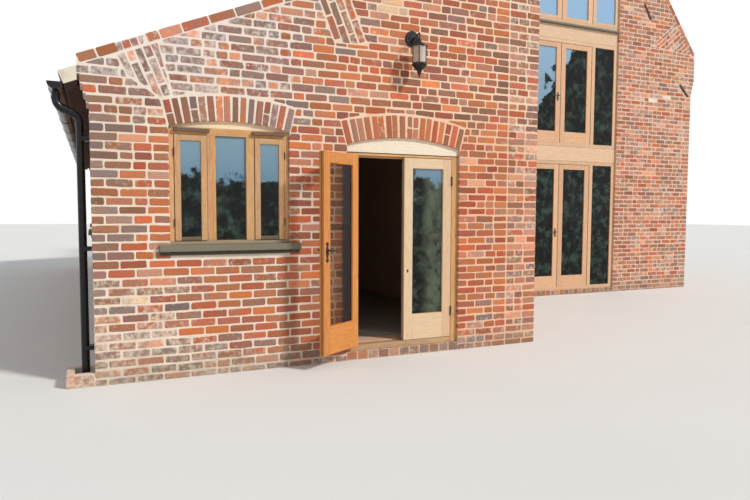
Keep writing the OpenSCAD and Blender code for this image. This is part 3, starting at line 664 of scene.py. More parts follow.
def wall_bricks(bond, wall):
    """Every brick of one wall's face, cut to its openings, arches and slopes."""
    rng = bond.rng
    bricks = []
    last = []
    rows = int((wall["top"] - wall["datum"])/bond.course) + 1
    phase = rng.random()*6
    for row in range(rows):
        foot = wall["datum"] + row*bond.course
        mid = foot + bond.course/2
        joints = []
        for start, end, ends in open_runs(bond, wall, mid):
            shift = ord(ends[0][-1]) if ends[0] else int(start)//7
            laid = bond.row(start, end, (row + shift) % 2, last)
            for i, (left, right) in enumerate(laid):
                joints.append(right + bond.joint/2)
                wave = 2.2*math.sin(left/640 + row*1.9 + phase) + 1.4*math.sin(left/270 + row)
                points = bond.brick(left, right, foot + bond.joint/2, wave, wall["fine"])
                points, *spare = trimmed(wall, points)
                if len(points) < 3 or area(points) < SMALLEST:
                    continue
                place = ((left + right)/2, mid)
                mood, smear = wall["mood"](*place)
                tone = brick_tone(rng, mood, smear)
                corner = ends[0] if i == 0 else ends[1] if i == len(laid) - 1 else None
                if corner:
                    tone = corner_tone(corner, row, mood, smear)
                out = wall["proud"](*place) + rng.gauss(0, 0.9)
                bricks.append((soften(points, max(6.0, rng.gauss(9.0, 1.8))), tone, out))
                for part in spare:
                    if len(part) > 2 and area(part) > SMALLEST:
                        bricks.append((soften(part, WEAR), tone, out))
        last = joints
    return bricks


def wedge_bricks(bond, polygon, slope, foot, mood, smear):
    """Courses laid square to a slope inside a wedge cut from a wall's face."""
    rng = bond.rng
    down = (math.sin(slope), -math.cos(slope))
    along = (math.cos(slope), math.sin(slope))

    def measured(direction):
        return [(p[0] - foot[0])*direction[0] + (p[1] - foot[1])*direction[1] for p in polygon]

    reach, depths = measured(along), measured(down)
    first, length = min(reach), max(reach) - min(reach)
    count = max(1, round(length/bond.course))
    bricks, last = [], []
    for i in range(count):
        laid = bond.row(min(depths) - 2, max(depths) + 230, i % 2, last, 0.3)
        last = [right + bond.joint/2 for left, right in laid]
        for left, right in laid:
            shape = bond.brick(left, right, first + i*(length/count) + bond.joint/2)
            points = [(foot[0] + along[0]*v + down[0]*u, foot[1] + along[1]*v + down[1]*u)
                      for u, v in shape]
            points = clean(inside(points, polygon, 5))
            if len(points) > 2 and area(points) > 1200:
                points = soften(points, WEAR)
                bricks.append((points, brick_tone(rng, mood, smear), 3 + rng.gauss(0, 0.9)))
    return bricks


def brick_piece(name, bricks, matrix, back, rim=3.2):
    """Solid bricks from outlines on a face: drawn out, with a rounded rim to each front."""
    bm = bmesh.new()
    tone = bm.verts.layers.float_color.new("tone")
    edge = bm.verts.layers.float.new("edge")
    tones = bm.faces.layers.float_color.new("lay")
    prouds = bm.faces.layers.float.new("out")
    for points, colour, out, *deep in bricks:
        depth = deep[0] if deep else back
        face = bm.faces.new([bm.verts.new((s, t, -depth)) for s, t in points])
        face[tones] = colour
        face[prouds] = out
    fronts = second_side(bm, bm.faces[:], BMFace)
    for face in fronts:
        for vert in face.verts:
            vert.co.z = face[prouds] - rim
    for face in bm.faces:
        for vert in face.verts:
            if any(face[tones]):
                vert[tone] = face[tones]
                vert[edge] = 1.0
    widths = {}
    for (points, *_), face in zip(bricks, fronts):
        room = rim_room(points)
        width = next((w for w in (RIM_WIDTH, 4.5, 2.5) if w <= room), 1.0)
        widths.setdefault(width, []).append(face)
    for width, group in widths.items():
        bmesh.ops.inset_individual(bm, faces=group, thickness=width, use_even_offset=True)
    for face in fronts:
        for vert in face.verts:
            vert.co.z = face[prouds]
            vert[tone] = face[tones]
            vert[edge] = 0.0
    bm.faces.layers.float_color.remove(tones)
    bm.faces.layers.float.remove(bm.faces.layers.float["out"])
    to_piece(bm, name, matrix, "brick")


# Moods: how the brick colours are mixed from place to place, and how much lime smears them

STRIP_MOOD = {"rose": 3, "plum": 1, "brown": 2, "red": 3, "salmon": 2, "umber": 0}
CORNER_MOOD = {"grey": 4, "umber": 2.6, "plum": 1.6, "brown": 2.4, "red": 0.8}
WEDGE_MOOD = {"red": 3, "plum": 3, "orange": 1, "salmon": 1, "brown": 2, "grey": 1}


def front_mood(s, t):
    """The wing's front: burnt and limed to the left and above, redder beside the door."""
    if s > WING_W:
        high = 3.0 if t > 3350 else 0.4
        return {**STRIP_MOOD, "plum": 1 + high, "umber": high}, 0.42
    if s < 290 and 1000 < t < 2600:
        return CORNER_MOOD, 0.16
    if 2640 < s < 2960 and 3500 < t < 3700:
        return {"buff": 3, "salmon": 1}, 0.1
    reach, limed, ashen = (420, 0.28, 5.5) if 950 < t < 2250 else (1150, 0.54, 3.6)
    left = 1.4*share(1.0 - s/reach)
    high = share((t - 2150)/400)*share(1.3 - s/2000)
    high = max(high, 0.5*share((t - 3150)/300)*share(1.0 - s/5000))
    bright = share((s - 2000)/800)
    low = share(1.0 - t/420)
    burnt = min(1.0, left + high + low*0.8)
    right = share((s - 3000)/500)
    dull = right*min(share((3550 - t)/200), share((t - 2100)/400))
    ruddy = right*share((2400 - t)/300)
    mood = {
        "red": 4.6 - 3.8*burnt + 1.5*bright - 1.5*dull, "umber": 5.5*dull + 1.2*high,
        "orange": 5.0 - 4.5*burnt + 1.5*bright - 4.0*dull, "salmon": 0.8 + 1.0*burnt - 0.4*dull,
        "plum": 0.3 + 3.0*burnt + 3.5*high, "grey": 0.04 + ashen*burnt + 6.0*high,
        "brown": 1.5 + 0.9*burnt + 2.0*dull, "rose": 0.3 + 1.3*burnt, "buff": 0.06,
        "ember": 5.0*ruddy,
    }
    splashed = share(1.0 - t/1500)*share(1.0 - s/2200)
    return mood, 0.10 + limed*burnt + 0.2*low + 0.3*high*min(1.0, s/900) + 0.35*splashed


def side_mood(s, t):
    low = share(1.0 - t/420)
    return {
        "red": 3.4 - 2*low, "orange": 2.0, "salmon": 1.4, "plum": 1.4 + 2*low,
        "grey": 0.9 + low, "buff": 0.15, "brown": 2.0, "rose": 1.2,
    }, 0.35 + 0.3*low


def gable_mood(s, t):
    return {
        "red": 2.6, "orange": 2.4, "salmon": 2.6, "plum": 1.2, "grey": 0.6,
        "buff": 0.25, "brown": 2.8, "rose": 2.0,
    }, 0.5


def gable_front_mood(s, t):
    painted = 10050 < s < 10470 and 3680 < t < 3760 or 9780 < s < 10010 and 3600 < t < 3680
    return ({"cream": 1}, 0.0) if painted else gable_mood(s, t)


KNEELER_COURSE, KNEELER_STEPS = 78, 4


def kneeler_steps(rule, z):
    """How far the corbelled courses of a kneeler stand out at a height."""
    start, step = rule
    steps = math.floor((z - start)/KNEELER_COURSE) + 1
    return step*max(0, min(KNEELER_STEPS, steps))


FRONT_WEDGES = [
    [(217, 2820), (300, 2660), (565, 2482), (668, 2516), (555, 2960), (443, 2916)],
    [(217, 2834), (443, 2928), (443, 3013), (217, 2920)],
    [(2183, 3139), (2525, 3149), (2297, 3698), (2002, 3576)],
    [(2002, 3576), (2297, 3698), (2268, 3769), (1973, 3647)],
]
GABLE_WEDGE = [(9840, 4672), (10640, 4612), (10962, 4600), (10452, 5205)]


def walls(sizes):
    """Every brick face: where it is, its outline, its openings and its mood."""
    proud = sizes.proud/MM
    under = COPING_T + BESIDE
    wing = [((0, wing_z(0, under)), (math.sin(WING_PITCH), -math.cos(WING_PITCH)), 0)]
    sine, cosine = math.sin(BARN_PITCH), math.cos(BARN_PITCH)
    gable = [((WING_W, barn_z(WING_W, under)), (sine, -cosine), 0),
             ((HOUSE_W, barn_z(HOUSE_W, under)), (-sine, -cosine), 0)]

    def opening(a):
        return (a, a + WIN_W, SILL_FOOT, WIN_SPRING)

    def over(a, z=0):
        return Arch(a, WIN_W, WIN_SPRING + z, WIN_RISE)

    def level(z):
        return [((0, z), (0, -1), 0)]

    def flat(s, t):
        return proud

    def left_face(s, t):
        ends = s < WING_WALL or s > BACK_Y - WING_WALL
        return proud - 1 + (kneeler_steps(WING_KNEELER, t) if ends else 0)

    def right_face(s, t):
        ends = s < GABLE_Y + GABLE_T or s > BACK_Y - GABLE_T
        return proud - 1 + (kneeler_steps(BARN_KNEELER, t) if ends else 0)

    def wall(seed, place, axes, datum, span, top, corners, slopes, **more):
        plain = {"holes": (), "arches": (), "wedges": (), "splits": (), "mood": side_mood,
                 "proud": flat, "fine": False}
        return {**plain, "seed": seed, "matrix": plane(*place, axes), "datum": datum, "span": span,
                "top": top, "corners": corners, "slopes": slopes, **more}

    return {
        "wing_front_bricks": wall(
            11, (0, 0, 0), FRONT_FACE, WING_DATUM,
            lambda z: (-4 - kneeler_steps(WING_KNEELER, z), BARN_IN + 4),
            wing_z(BARN_IN), ("corner_a", "corner_b"), wing, splits=(WING_W,),
            holes=[opening(WIN_X), (DOOR_X, DOOR_X + DOOR_W, 0, DOOR_SPRING)],
            arches=[over(WIN_X), Arch(DOOR_X, DOOR_W, DOOR_SPRING, DOOR_RISE)],
            wedges=FRONT_WEDGES, mood=front_mood, fine=True),
        "wing_left_bricks": wall(
            12, (0, 0, 0), LEFT_FACE, WING_DATUM, lambda z: (1, BACK_Y - 1),
            wing_z(0, COPING_T), ("corner_a", "corner_c"), level(wing_z(0, COPING_T + 26)),
            holes=[opening(4200), opening(8600)], arches=[over(4200), over(8600)],
            proud=left_face),
        "wing_rear_bricks": wall(
            13, (0, BACK_Y, 0), BACK_FACE, WING_DATUM,
            lambda z: (-4 - kneeler_steps(WING_KNEELER, z), WING_W - 5),
            wing_z(WING_W), ("corner_c", None), wing),
        "barn_side_bricks": wall(
            14, (BARN_IN, 0, 0), RIGHT_FACE, WING_DATUM, lambda z: (1, GABLE_Y - 5),
            wing_z(BARN_IN, ROOF_DROP), ("corner_b", None),
            level(wing_z(BARN_IN, ROOF_FOOT) - 4), fine=True),
        "barn_gable_bricks": wall(
            15, (0, GABLE_Y, 0), FRONT_FACE, BARN_DATUM,
            lambda z: (BARN_IN + 5 if z < 4690 else WING_W,
                       HOUSE_W + 4 + kneeler_steps(BARN_KNEELER, z)),
            barn_z(BARN_MID), (None, "corner_d"), gable,
            holes=[(SCREEN_X, SCREEN_X + SCREEN_W, 0, SCREEN_SPRING)],
            arches=[Arch(SCREEN_X, SCREEN_W, SCREEN_SPRING, SCREEN_RISE)],
            wedges=[GABLE_WEDGE], mood=gable_front_mood, fine=True),
        "barn_right_bricks": wall(
            16, (HOUSE_W, 0, 0), RIGHT_FACE, BARN_DATUM, lambda z: (GABLE_Y + 1, BACK_Y - 1),
            barn_z(HOUSE_W), ("corner_d", "corner_e"), level(barn_z(HOUSE_W, ROOF_FOOT) - 8),
            holes=[opening(5400), opening(9000)], arches=[over(5400), over(9000)],
            proud=right_face),
        "barn_rear_bricks": wall(
            17, (0, BACK_Y, 0), BACK_FACE, BARN_DATUM,
            lambda z: (WING_W + 5, HOUSE_W + 4 + kneeler_steps(BARN_KNEELER, z)),
            barn_z(BARN_MID), (None, "corner_e"), gable,
            holes=[opening(7020), (7020, 8120, 3605, 4750)],
            arches=[over(7020), over(7020, 2500)], mood=gable_mood),
    }


def build_walls(sizes):
    BRICK_COLOURS.update({name: by_eye(name) for name in ("red", "orange", "grey")})
    for name, wall in walls(sizes).items():
        bond = Bond(sizes, wall["seed"])
        bricks = wall_bricks(bond, wall)
        if name == "wing_front_bricks":
            mood, smear = front_mood(300, 2700)
            for wedge in FRONT_WEDGES:
                bricks += wedge_bricks(bond, wedge, WING_PITCH, wedge[0], mood, smear)
                mood = WEDGE_MOOD
        if name == "barn_gable_bricks":
            mood, smear = gable_mood(0, 0)
            bricks += wedge_bricks(bond, GABLE_WEDGE, -BARN_PITCH, GABLE_WEDGE[3], mood, smear)
        brick_piece(name, bricks, wall["matrix"], REVEAL - 1)
    bedded = [n for n in NODES if "wall" in n or "gable" in n]
    dress("mortar", *bedded, "kneelers", "door_arch", "window_arches", "wing_coping", "barn_coping")


# Arches, copings and small brickwork


def build_arches(sizes):
    rng = Bond(sizes, 31).rng
    burnt = {"red": 3, "orange": 1.5, "plum": 3, "grey": 2.5, "umber": 3, "brown": 2}
    even = {"red": 4, "orange": 5, "salmon": 1.2, "brown": 2}
    warm = {"red": 4, "orange": 4, "salmon": 2, "brown": 2, "rose": 1, "plum": 0.5}
    rings = [(f"window_arch_bricks_{i}", site(*place), (WIN_W, WIN_SPRING, WIN_RISE), 16, burnt, 0.2)
             for i, place in enumerate(WINDOWS)]
    rings += [
        ("door_arch_bricks", site(DOOR_X), (DOOR_W, DOOR_SPRING, DOOR_RISE), 18, even, 0.1),
        ("screen_arch_bricks", site(SCREEN_X, GABLE_Y), (SCREEN_W, SCREEN_SPRING, SCREEN_RISE), 37,
         warm, 0.45),
    ]
    for name, place, shape, count, mood, smear in rings:
        bricks = Arch(0, *shape).ring(rng, count, mood, smear)
        brick_piece(name, bricks, place @ facing(*FRONT_FACE), REVEAL - 1)


def coping_rows(bond, runs, thick, mood):
    """Stretchers along a slope, three bricks deep, from (left, right) runs of the first row."""
    bricks = []
    width = (thick - 22)/3
    for row in range(3):
        front = 3 - row*(width + 11)
        laid = bond.row(runs[0][0] + 2, runs[-1][1], row % 2, [], 0.1) if row else list(runs)
        for left, right in laid:
            foot = -COPING_T + 2 - bond.joint/2
            head = 3.2 + bond.rng.gauss(0, 0.6)
            points = bond.brick(left, right, foot + bond.joint/2)
            points = [(x, z if z < -COPING_T/2 else head) for x, z in points]
            tone = brick_tone(bond.rng, mood, 0.0 if row else 0.3)
            points = soften(points, WEAR)
            bricks.append((points, tone, front + bond.rng.gauss(0, 0.8), width - front))
    return bricks


def build_copings(sizes):
    bond = Bond(sizes, 41)
    mood = {"red": 1.4, "orange": 2, "salmon": 0.6, "plum": 3, "grey": 3, "brown": 1.4, "rose": 1}

    def coping(name, place, tilt, side, out, runs, thick):
        cosine, sine = math.cos(tilt), math.sin(tilt)
        axes = (side*cosine, 0, sine), (-side*sine, 0, cosine), out
        brick_piece(name, coping_rows(bond, runs, thick, mood), plane(*place, axes), 0)

    cosine = math.cos(WING_PITCH)
    known = [(-92, 46), (58, 211), (449, 550), (562, 735), (747, 972), (984, 1204), (1216, 1442)]
    runs = [(a/cosine, b/cosine) for a, b in known]
    runs += bond.row(1454/cosine, 1967/cosine, 0, [], 0)
    runs += bond.row(2274/cosine, BARN_IN/cosine, 1, [], 0)
    place = (0, 0, WING_VERGE)
    coping("wing_coping_bricks", place, WING_PITCH, 1, FRONT, runs, WING_WALL)
    runs = bond.row(-92/cosine, WING_W/cosine, 0, [], 0)
    place = (0, BACK_Y, WING_VERGE)
    coping("wing_rear_coping_bricks", place, WING_PITCH, 1, BACK, runs, WING_WALL)
    cosine = math.cos(BARN_PITCH)
    ridge = (HOUSE_W - WING_W)/2/cosine
    for y, out, end in ((GABLE_Y, FRONT, "front"), (BACK_Y, BACK, "rear")):
        for x, side, foot, name in ((WING_W, 1, 0, "left"), (HOUSE_W, -1, 76/cosine, "right")):
            runs = bond.row(-foot, ridge - 4, 0, [], 0.05)
            coping(f"barn_{end}_coping_bricks_{name}", (x, y, BARN_VERGE), BARN_PITCH, side, out,
                   runs, GABLE_T)


def build_small_brickwork(sizes):
    bond = Bond(sizes, 51)
    mood = {"red": 3, "orange": 1.5, "plum": 2, "grey": 1, "brown": 2, "salmon": 1}
    limed = {"salmon": 1, "rose": 1}

    def kerb(name, place, axes, runs, height, deep, kinds, smear):
        foot, head = height
        bricks = []
        for left, right in runs:
            tilt = bond.rng.gauss(0, 0.6)
            points = [(left, foot + tilt), (right, foot - tilt), (right, head - tilt),
                      (left, head + tilt)]
            tone = brick_tone(bond.rng, kinds, smear)
            bricks.append((soften(points, 8), tone, 3 + bond.rng.gauss(0, 0.5), deep))
        brick_piece(name, bricks, plane(*place, axes), deep)

    for name, x, y, wide, count in (("door", DOOR_X, 0, DOOR_W, 11),
                                    ("screen", SCREEN_X, GABLE_Y, SCREEN_W, 25)):
        step = wide/count
        runs = [(x + i*step + 5, x + (i + 1)*step - 5) for i in range(count)]
        kerb(f"{name}_threshold_bricks", (0, y, 0), FRONT_FACE, runs, (4, 85), 29, mood, 0.35)
    for name, place, axes, runs in (
            ("front", (0, 0, 0), FRONT_FACE, [(-228, -10)]),
            ("side", (-225, 0, 0), LEFT_FACE, [(64, 266), (276, 333)]),
            ("back", (0, 330, 0), BACK_FACE, [(-160, -10)])):
        kerb(f"gully_bricks_{name}", place, axes, runs, (3, 112), 59, limed, 1.0)


# Roofs

TILE_SHADES = [(1.0, 1.0, 1.0), (1.05, 1.08, 1.07), (0.94, 0.94, 0.98), (0.9, 0.94, 1.0),
               (1.03, 1.13, 1.16)]
TILE_W, TILE_COVER, TILE_L, TILE_GAUGE = 262, 245, 345, 288
RIDGE_R, RIDGE_SINK, RIDGE_COUNT = 112, 43, 19


def tile_template():
    """A clay pantile: channel and roll, drawn out to its length and thickness."""
    bm = bmesh.new()
    profile = [(0, 14), (40, 1), (95, 0), (140, 12), (175, 33), (210, 42), (240, 34), (TILE_W, 17)]
    strip(bm, [(x, 0, h) for x, h in profile], (0, TILE_L, -14))
    tops = second_side(bm, bm.faces[:])
    bmesh.ops.translate(bm, verts=tops, vec=(0, 0, 12))
    bmesh.ops.translate(bm, verts=bm.verts, vec=(0, 0, 15))
    outward(bm)
    shaded_smooth(bm, 0.9)
    return mesh_of(bm, "pantile")


def ridge_template():
    """A half-round ridge tile."""
    bm = bmesh.new()
    turns = [math.radians(-104 + i*208/12) for i in range(13)]
    outline = [(RIDGE_R*math.sin(turn), 0, RIDGE_R*math.cos(turn)) for turn in turns]
    strip(bm, outline, (0, 444, 0))
    outward(bm)
    bmesh.ops.solidify(bm, geom=bm.faces[:], thickness=-18)
    outward(bm)
    return mesh_of(bm, "ridge")


def tile_tone(rng):
    shade = rng.gauss(1.0, 0.06)
    part = rng.choice(TILE_SHADES)
    return linear(*[c*p*shade for c, p in zip(by_eye("tile"), part)], rng.random())


def tile_roof(name, face, start, end, y0, y1, seed):
    """Rows of pantiles up a slope, from the eaves to the ridge."""
    rng = random.Random(seed)
    rows = max(1, round((end - start)/TILE_GAUGE))
    gauge = (end - start)/rows
    across = max(1, round((y1 - y0)/TILE_COVER))
    cover = (y1 - y0)/across
    places, tones = [], []
    for row in range(rows):
        length = 1.0 if row < rows - 1 else gauge/TILE_L
        for col in range(across):
            place = (y0 + col*cover + rng.gauss(0, 1), start + row*gauge + rng.gauss(0, 2),
                     rng.gauss(0, 0.8))
            width = cover/(TILE_COVER if col < across - 1 else TILE_W)
            places.append(face @ Matrix.Translation(place) @ Matrix.Diagonal((width, length, 1, 1)))
            tones.append(tile_tone(rng))
    copies(tile_template(), name, places, "tile", (), tones)


def build_roofs():
    def slope(x, z, angle, side):
        c, s = math.cos(angle), math.sin(angle)
        axes = (BACK, (side*c, 0, s), (-side*s, 0, c))
        return plane(x, 0, z, axes) @ Matrix.Translation((0, 0, -ROOF_DROP))

    cosine = math.cos(WING_PITCH)
    wing = slope(0, WING_VERGE, WING_PITCH, 1)
    tile_roof("wing_tiles_front", wing, -272, BARN_IN/cosine + 4, WING_WALL + 2, GABLE_Y - 4, 61)
    tile_roof("wing_tiles_back", wing, -272, WING_W/cosine - 4, GABLE_Y - 2,
              BACK_Y - WING_WALL - 2, 62)
    run = (HOUSE_W - WING_W)/2/math.cos(BARN_PITCH)
    for name, x, side, foot in (("left", WING_W, 1, -14), ("right", HOUSE_W, -1, -252)):
        face = slope(x, BARN_VERGE, BARN_PITCH, side)
        tile_roof(f"barn_tiles_{name}", face, foot, run - 30, GABLE_Y + GABLE_T + 2,
                  BACK_Y - GABLE_T - 2, 63 + side)
    rng = random.Random(65)
    pitch = (BACK_Y - GABLE_Y - 2*GABLE_T)/RIDGE_COUNT
    top = barn_z(BARN_MID, ROOF_DROP) - RIDGE_SINK
    places, tones = [], []
    for i in range(RIDGE_COUNT):
        at = site(BARN_MID, GABLE_Y + GABLE_T + i*pitch + 4, top)
        places.append(at @ Matrix.Rotation(rng.gauss(0, 0.006), 4, "Y"))
        tones.append(tile_tone(rng))
    copies(ridge_template(), "ridge_row", places, "tile", ("ridge_tiles",), tones)
    bm = bmesh.new()
    cone(bm, Matrix(), 24, 121, 121, pitch*RIDGE_COUNT - 16)
    bed = site(BARN_MID, (GABLE_Y + BACK_Y)/2, top) @ Matrix.Rotation(QUARTER, 4, "X")
    to_piece(bm, "ridge_bedding", bed, "mortar", smooth=0.6)


# Joinery


class Joiner:
    """Collects bevelled boards. Each carries its own grain, shade and weathering."""

    def __init__(self, seed):
        self.rng = random.Random(seed)
        self.bm = bmesh.new()
        self.grain = self.bm.verts.layers.float_vector.new("grain")
        self.tone = self.bm.verts.layers.float_color.new("tone")

    def board(self, x, y, z, along, grey=0.0, shade=1.0):
        """A board between two ends on each axis, its grain along one of them."""
        middle = Vector([(p[0] + p[1])/2 for p in (x, y, z)])
        size = [p[1] - p[0] for p in (x, y, z)]
        place = Matrix.Translation(middle) @ Matrix.Diagonal((*size, 1))
        made = bmesh.ops.create_cube(self.bm, size=1.0, matrix=place)["verts"]
        order = {"x": (0, 1, 2), "z": (2, 0, 1)}[along]
        start = Vector([self.rng.uniform(0, 9000) for _ in range(3)])
        light = self.rng.gauss(1.0, 0.04)
        tint = shade if isinstance(shade, tuple) else (shade, shade, shade)
        for vert in made:
            local = Vector([vert.co[i] for i in order])
            vert[self.grain] = (local + start)*MM
            vert[self.tone] = (*[light*c for c in tint], grey)

    def surround(self, x, y, z, wide, grey=0.0, shade=1.0):
        """A frame of four mitre-free beads or rails inside an opening."""
        self.board((x[0], x[0] + wide), y, z, "z", grey, shade)
        self.board((x[1] - wide, x[1]), y, z, "z", grey, shade)
        inner = (x[0] + wide, x[1] - wide)
        self.board(inner, y, (z[0], z[0] + wide), "x", grey, shade)
        self.board(inner, y, (z[1] - wide, z[1]), "x", grey, shade)

    def rounded(self, offset):
        bevel(self.bm, self.bm.edges[:], offset)
        return self.bm

    def mesh(self, name, offset):
        outward(self.rounded(offset))
        return mesh_of(self.bm, name)


LIGHT_FOOT, LIGHT_HEAD, CASEMENTS, CASEMENT_W = 1232, 2185, (45, 765), 290


def window_frame():
    job = Joiner(71)
    y, z, fixed_light = (REVEAL, 120), (LIGHT_FOOT, LIGHT_HEAD), (410, 690)
    for x, tint in (((4, 45), (1.08, 1.0, 0.92)), ((1055, 1096), (1.1, 1.04, 0.9)),
                    ((335, 386), (0.96, 0.86, 0.84)), ((386, 410), (1.1, 0.94, 0.62)),
                    ((690, 765), (1.02, 0.98, 0.86))):
        job.board(x, y, z, "z", 0.12, tint)
    job.board((0, WIN_W), y, (LIGHT_HEAD, WIN_SPRING), "x", 0.10, (1.06, 0.98, 0.74))
    job.board((0, WIN_W), y, (1201, LIGHT_FOOT), "x", 1.0, (1.1, 1.2, 1.24))
    # Dark 4 mm strips round each casement paint the shade in the gap beside the frame.
    for x in CASEMENTS:
        job.surround((x, x + CASEMENT_W), (REVEAL, 40), z, 4, 0.5, 0.2)
    for x in (45, 745):
        job.board((x, x + 310), (-4, REVEAL + 2), (2208, 2238), "x", 1.0, (0.42, 0.34, 0.33))
    job.surround(fixed_light, (42, 50), z, 3, 0.1)
    job.surround(fixed_light, (70, 84), z, 13, 0.0)
    return job.mesh("window_frame", 2.2)


def window_casement():
    job = Joiner(72)
    y, foot, head = (20, 70), LIGHT_FOOT + 4, LIGHT_HEAD - 4
    for x, left, right in zip(CASEMENTS, (0.14, 0.4), (0.4, 0.14)):
        inner = (x + 55, x + 235)
        job.board((x + 4, inner[0]), y, (foot, head), "z", left, (0.96, 0.92, 0.9))
        job.board((inner[1], x + 286), y, (foot, head), "z", right, (1.02, 0.95, 0.84))
        job.board(inner, y, (head - 51, head), "x", 0.14, (1.0, 0.96, 0.86))
        job.board(inner, y, (foot, foot + 29), "x", 0.8, 0.32)
        job.surround(inner, (24, 31), (foot + 29, head - 51), 3, 0.1)
    return job.mesh("window_casement", 1.8)


def window_hinges():
    bm = bmesh.new()
    for x in (46, 1054):
        for z in (1400, 2030):
            cone(bm, spot(x, 18, z), 10, 5, 5, 70)
    return mesh_of(bm, "window_ironmongery")


def build_windows():
    places = [site(*place) for place in WINDOWS]
    copies(window_frame(), "window_frame_set", places, "oak", ("window_frames",))
    copies(window_casement(), "window_casement_set", places, "oak", ("window_casements",))
    copies(window_hinges(), "window_ironmongery_set", places, "iron")
    dress("glass", "window_panes")


def build_sills():
    job = Joiner(73)
    job.board((-95, WIN_W + 95), (-60, -1), (1140, 1201), "x", 1.0)
    job.board((0, WIN_W), (-1, 118), (1107, 1200), "x", 1.0)
    job.board((-90, WIN_W + 90), (-26, -1), (1107, 1139), "x", 1.0, 0.35)
    places = [site(*place) for place in WINDOWS]
    copies(job.mesh("sill", 5.0), "window_sills", places, "old_oak", ("sills",))
    job = Joiner(74)
    job.board((SCREEN_X + 2, SCREEN_X + SCREEN_W - 2), (GABLE_Y - 20, GABLE_Y + 129),
              (4810, 4842), "x", 1.0)
    to_piece(job.rounded(4.0), "screen_sill", site(), "old_oak")


DOOR_FOOT, JAMB, DOOR_HEAD = 83, 80, 2066


def build_door_frame():
    job = Joiner(75)
    right = DOOR_W - JAMB
    y, height, golden = (REVEAL, 129), (DOOR_FOOT, 2097), (1.1, 1.0, 0.8)
    job.board((0, JAMB), y, height, "z", 0.05, golden)
    job.board((right, DOOR_W), y, height, "z", 0.05, golden)
    job.board((JAMB, right), y, (DOOR_HEAD, 2097), "x", 0.05, golden)
    # A dark strip under the arch board paints the shade of the gap there.
    job.board((4, DOOR_W - 4), (REVEAL - 3, REVEAL + 3), (2088, 2098), "x", 0.5, 0.14)
    job.board((JAMB, right), y, (84, 143), "x", 0.5)
    y = (90, 128)
    job.board((JAMB, JAMB + 15), y, (143, DOOR_HEAD), "z")
    job.board((right - 15, right), y, (143, DOOR_HEAD), "z")
    job.board((JAMB + 15, right - 15), y, (DOOR_HEAD - 15, DOOR_HEAD), "x")
    to_piece(job.rounded(2.0), "door_frame_oak", site(DOOR_X), "oak", ("door_frame",))


LEAF_T = 54


def leaf_mesh(seed, hung, free):
    """A glazed leaf: its stiles in tints of their own, rails, beads and a dark strip of painted shade
    in its free edge.
    """
    job = Joiner(seed)
    left, right, foot, head = 85, 650.5, 148, 2061
    y, z, inner = (REVEAL, REVEAL + LEAF_T), (foot, head), (left + 100, right - 100)
    glazed = (foot + 270, head - 106)
    job.board((left, inner[0]), y, z, "z", 0.0, hung)
    job.board((inner[1], right), y, z, "z", 0.0, free)
    job.board(inner, y, (glazed[1], head), "x")
    job.board(inner, y, (foot, glazed[0]), "x")
    job.surround(inner, (REVEAL + 10, REVEAL + 18), glazed, 3)
    job.surround(inner, (REVEAL + 38, REVEAL + 44), glazed, 3)
    # Painted shade: a dark strip in the free edge.
    job.board((right - 6, right + 0.5), (REVEAL + 24, REVEAL + 35), (foot + 3, head - 3), "z", 0.5,
              0.12)
    return job.rounded(2.0)


def left_place():
    """The left leaf stands open by 147 degrees about its hinges."""
    axis = Vector((82.5, 22.5, 0))
    swung = Matrix.Translation(axis) @ Matrix.Rotation(math.radians(-147), 4, "Z") \
        @ Matrix.Translation(-axis)
    return site(DOOR_X) @ swung


def right_place():
    return site(DOOR_X + DOOR_W) @ Matrix.Diagonal((-1, 1, 1, 1))


def build_leaves():
    left = leaf_mesh(76, (1.12, 1.14, 1.16), (0.97, 0.95, 0.9))
    to_piece(left, "left_leaf_oak", left_place(), "oiled_oak", ("left_leaf",), body="left_leaf_body")
    right = leaf_mesh(77, (0.93, 0.86, 0.84), 1.0)
    to_piece(right, "right_leaf_oak", right_place(), "leaf_oak", ("right_leaf",),
             body="right_leaf_body")
    dress("clear_glass", "left_leaf_pane")
    dress("glass", "right_leaf_pane")
    dress("iron", "hinge_pins", "left_leaf_hinges", "right_leaf_hinges")
    bm = bmesh.new()
    cone(bm, spot(606, REVEAL - 1.5, 880, QUARTER, "X", (0.72, 1.25, 1)), 20, 15, 12, 3)
    to_piece(bm, "right_leaf_keyhole", right_place(), "iron", smooth=0.6, body="right_leaf_body")


LEVER_X, LEVER_Z = 600.5, 1140


def fleur_plate(bm, y):
    """A backplate that swells at the lever and ends in a fleur at each end."""
    half = [(0, 114), (6, 104), (19, 98), (25, 86), (17, 76), (9, 70), (12, 58), (16, 38), (21, 14),
            (23, 0), (21, -16), (16, -44), (12, -62), (9, -74), (17, -80), (25, -90), (19, -102),
            (6, -110), (0, -126)]
    outline = half + [(-x, z) for x, z in reversed(half[1:-1])]
    face = bm.faces.new([bm.verts.new((LEVER_X + x, y, 1125 + z*0.86)) for x, z in outline])
    bmesh.ops.translate(bm, verts=second_side(bm, [face]), vec=(0, 3.8, 0))


def lever_arm(bm, y):
    """One lever, drawn out of a round end in steps that thin, sag and curl up."""
    ring = bmesh.ops.create_circle(bm, cap_ends=True, segments=12, radius=8.5,
                                   matrix=spot(606, y, LEVER_Z, QUARTER, "Y"))["verts"]
    face = ring[0].link_faces[0]
    for across, up, size in ((-22, 0, 1.0), (-24, -2, 0.86), (-24, -4, 0.92), (-20, -2, 1.06),
                             (-12, 5, 1.0), (-4, 8, 0.8)):
        face = only(bmesh.ops.extrude_face_region(bm, geom=[face])["geom"], BMFace)[0]
        middle = Matrix.Translation(-face.calc_center_median())
        bmesh.ops.scale(bm, verts=face.verts[:], vec=(1, 0.95*size, size), space=middle)
        bmesh.ops.translate(bm, verts=face.verts[:], vec=(across, 0, up))


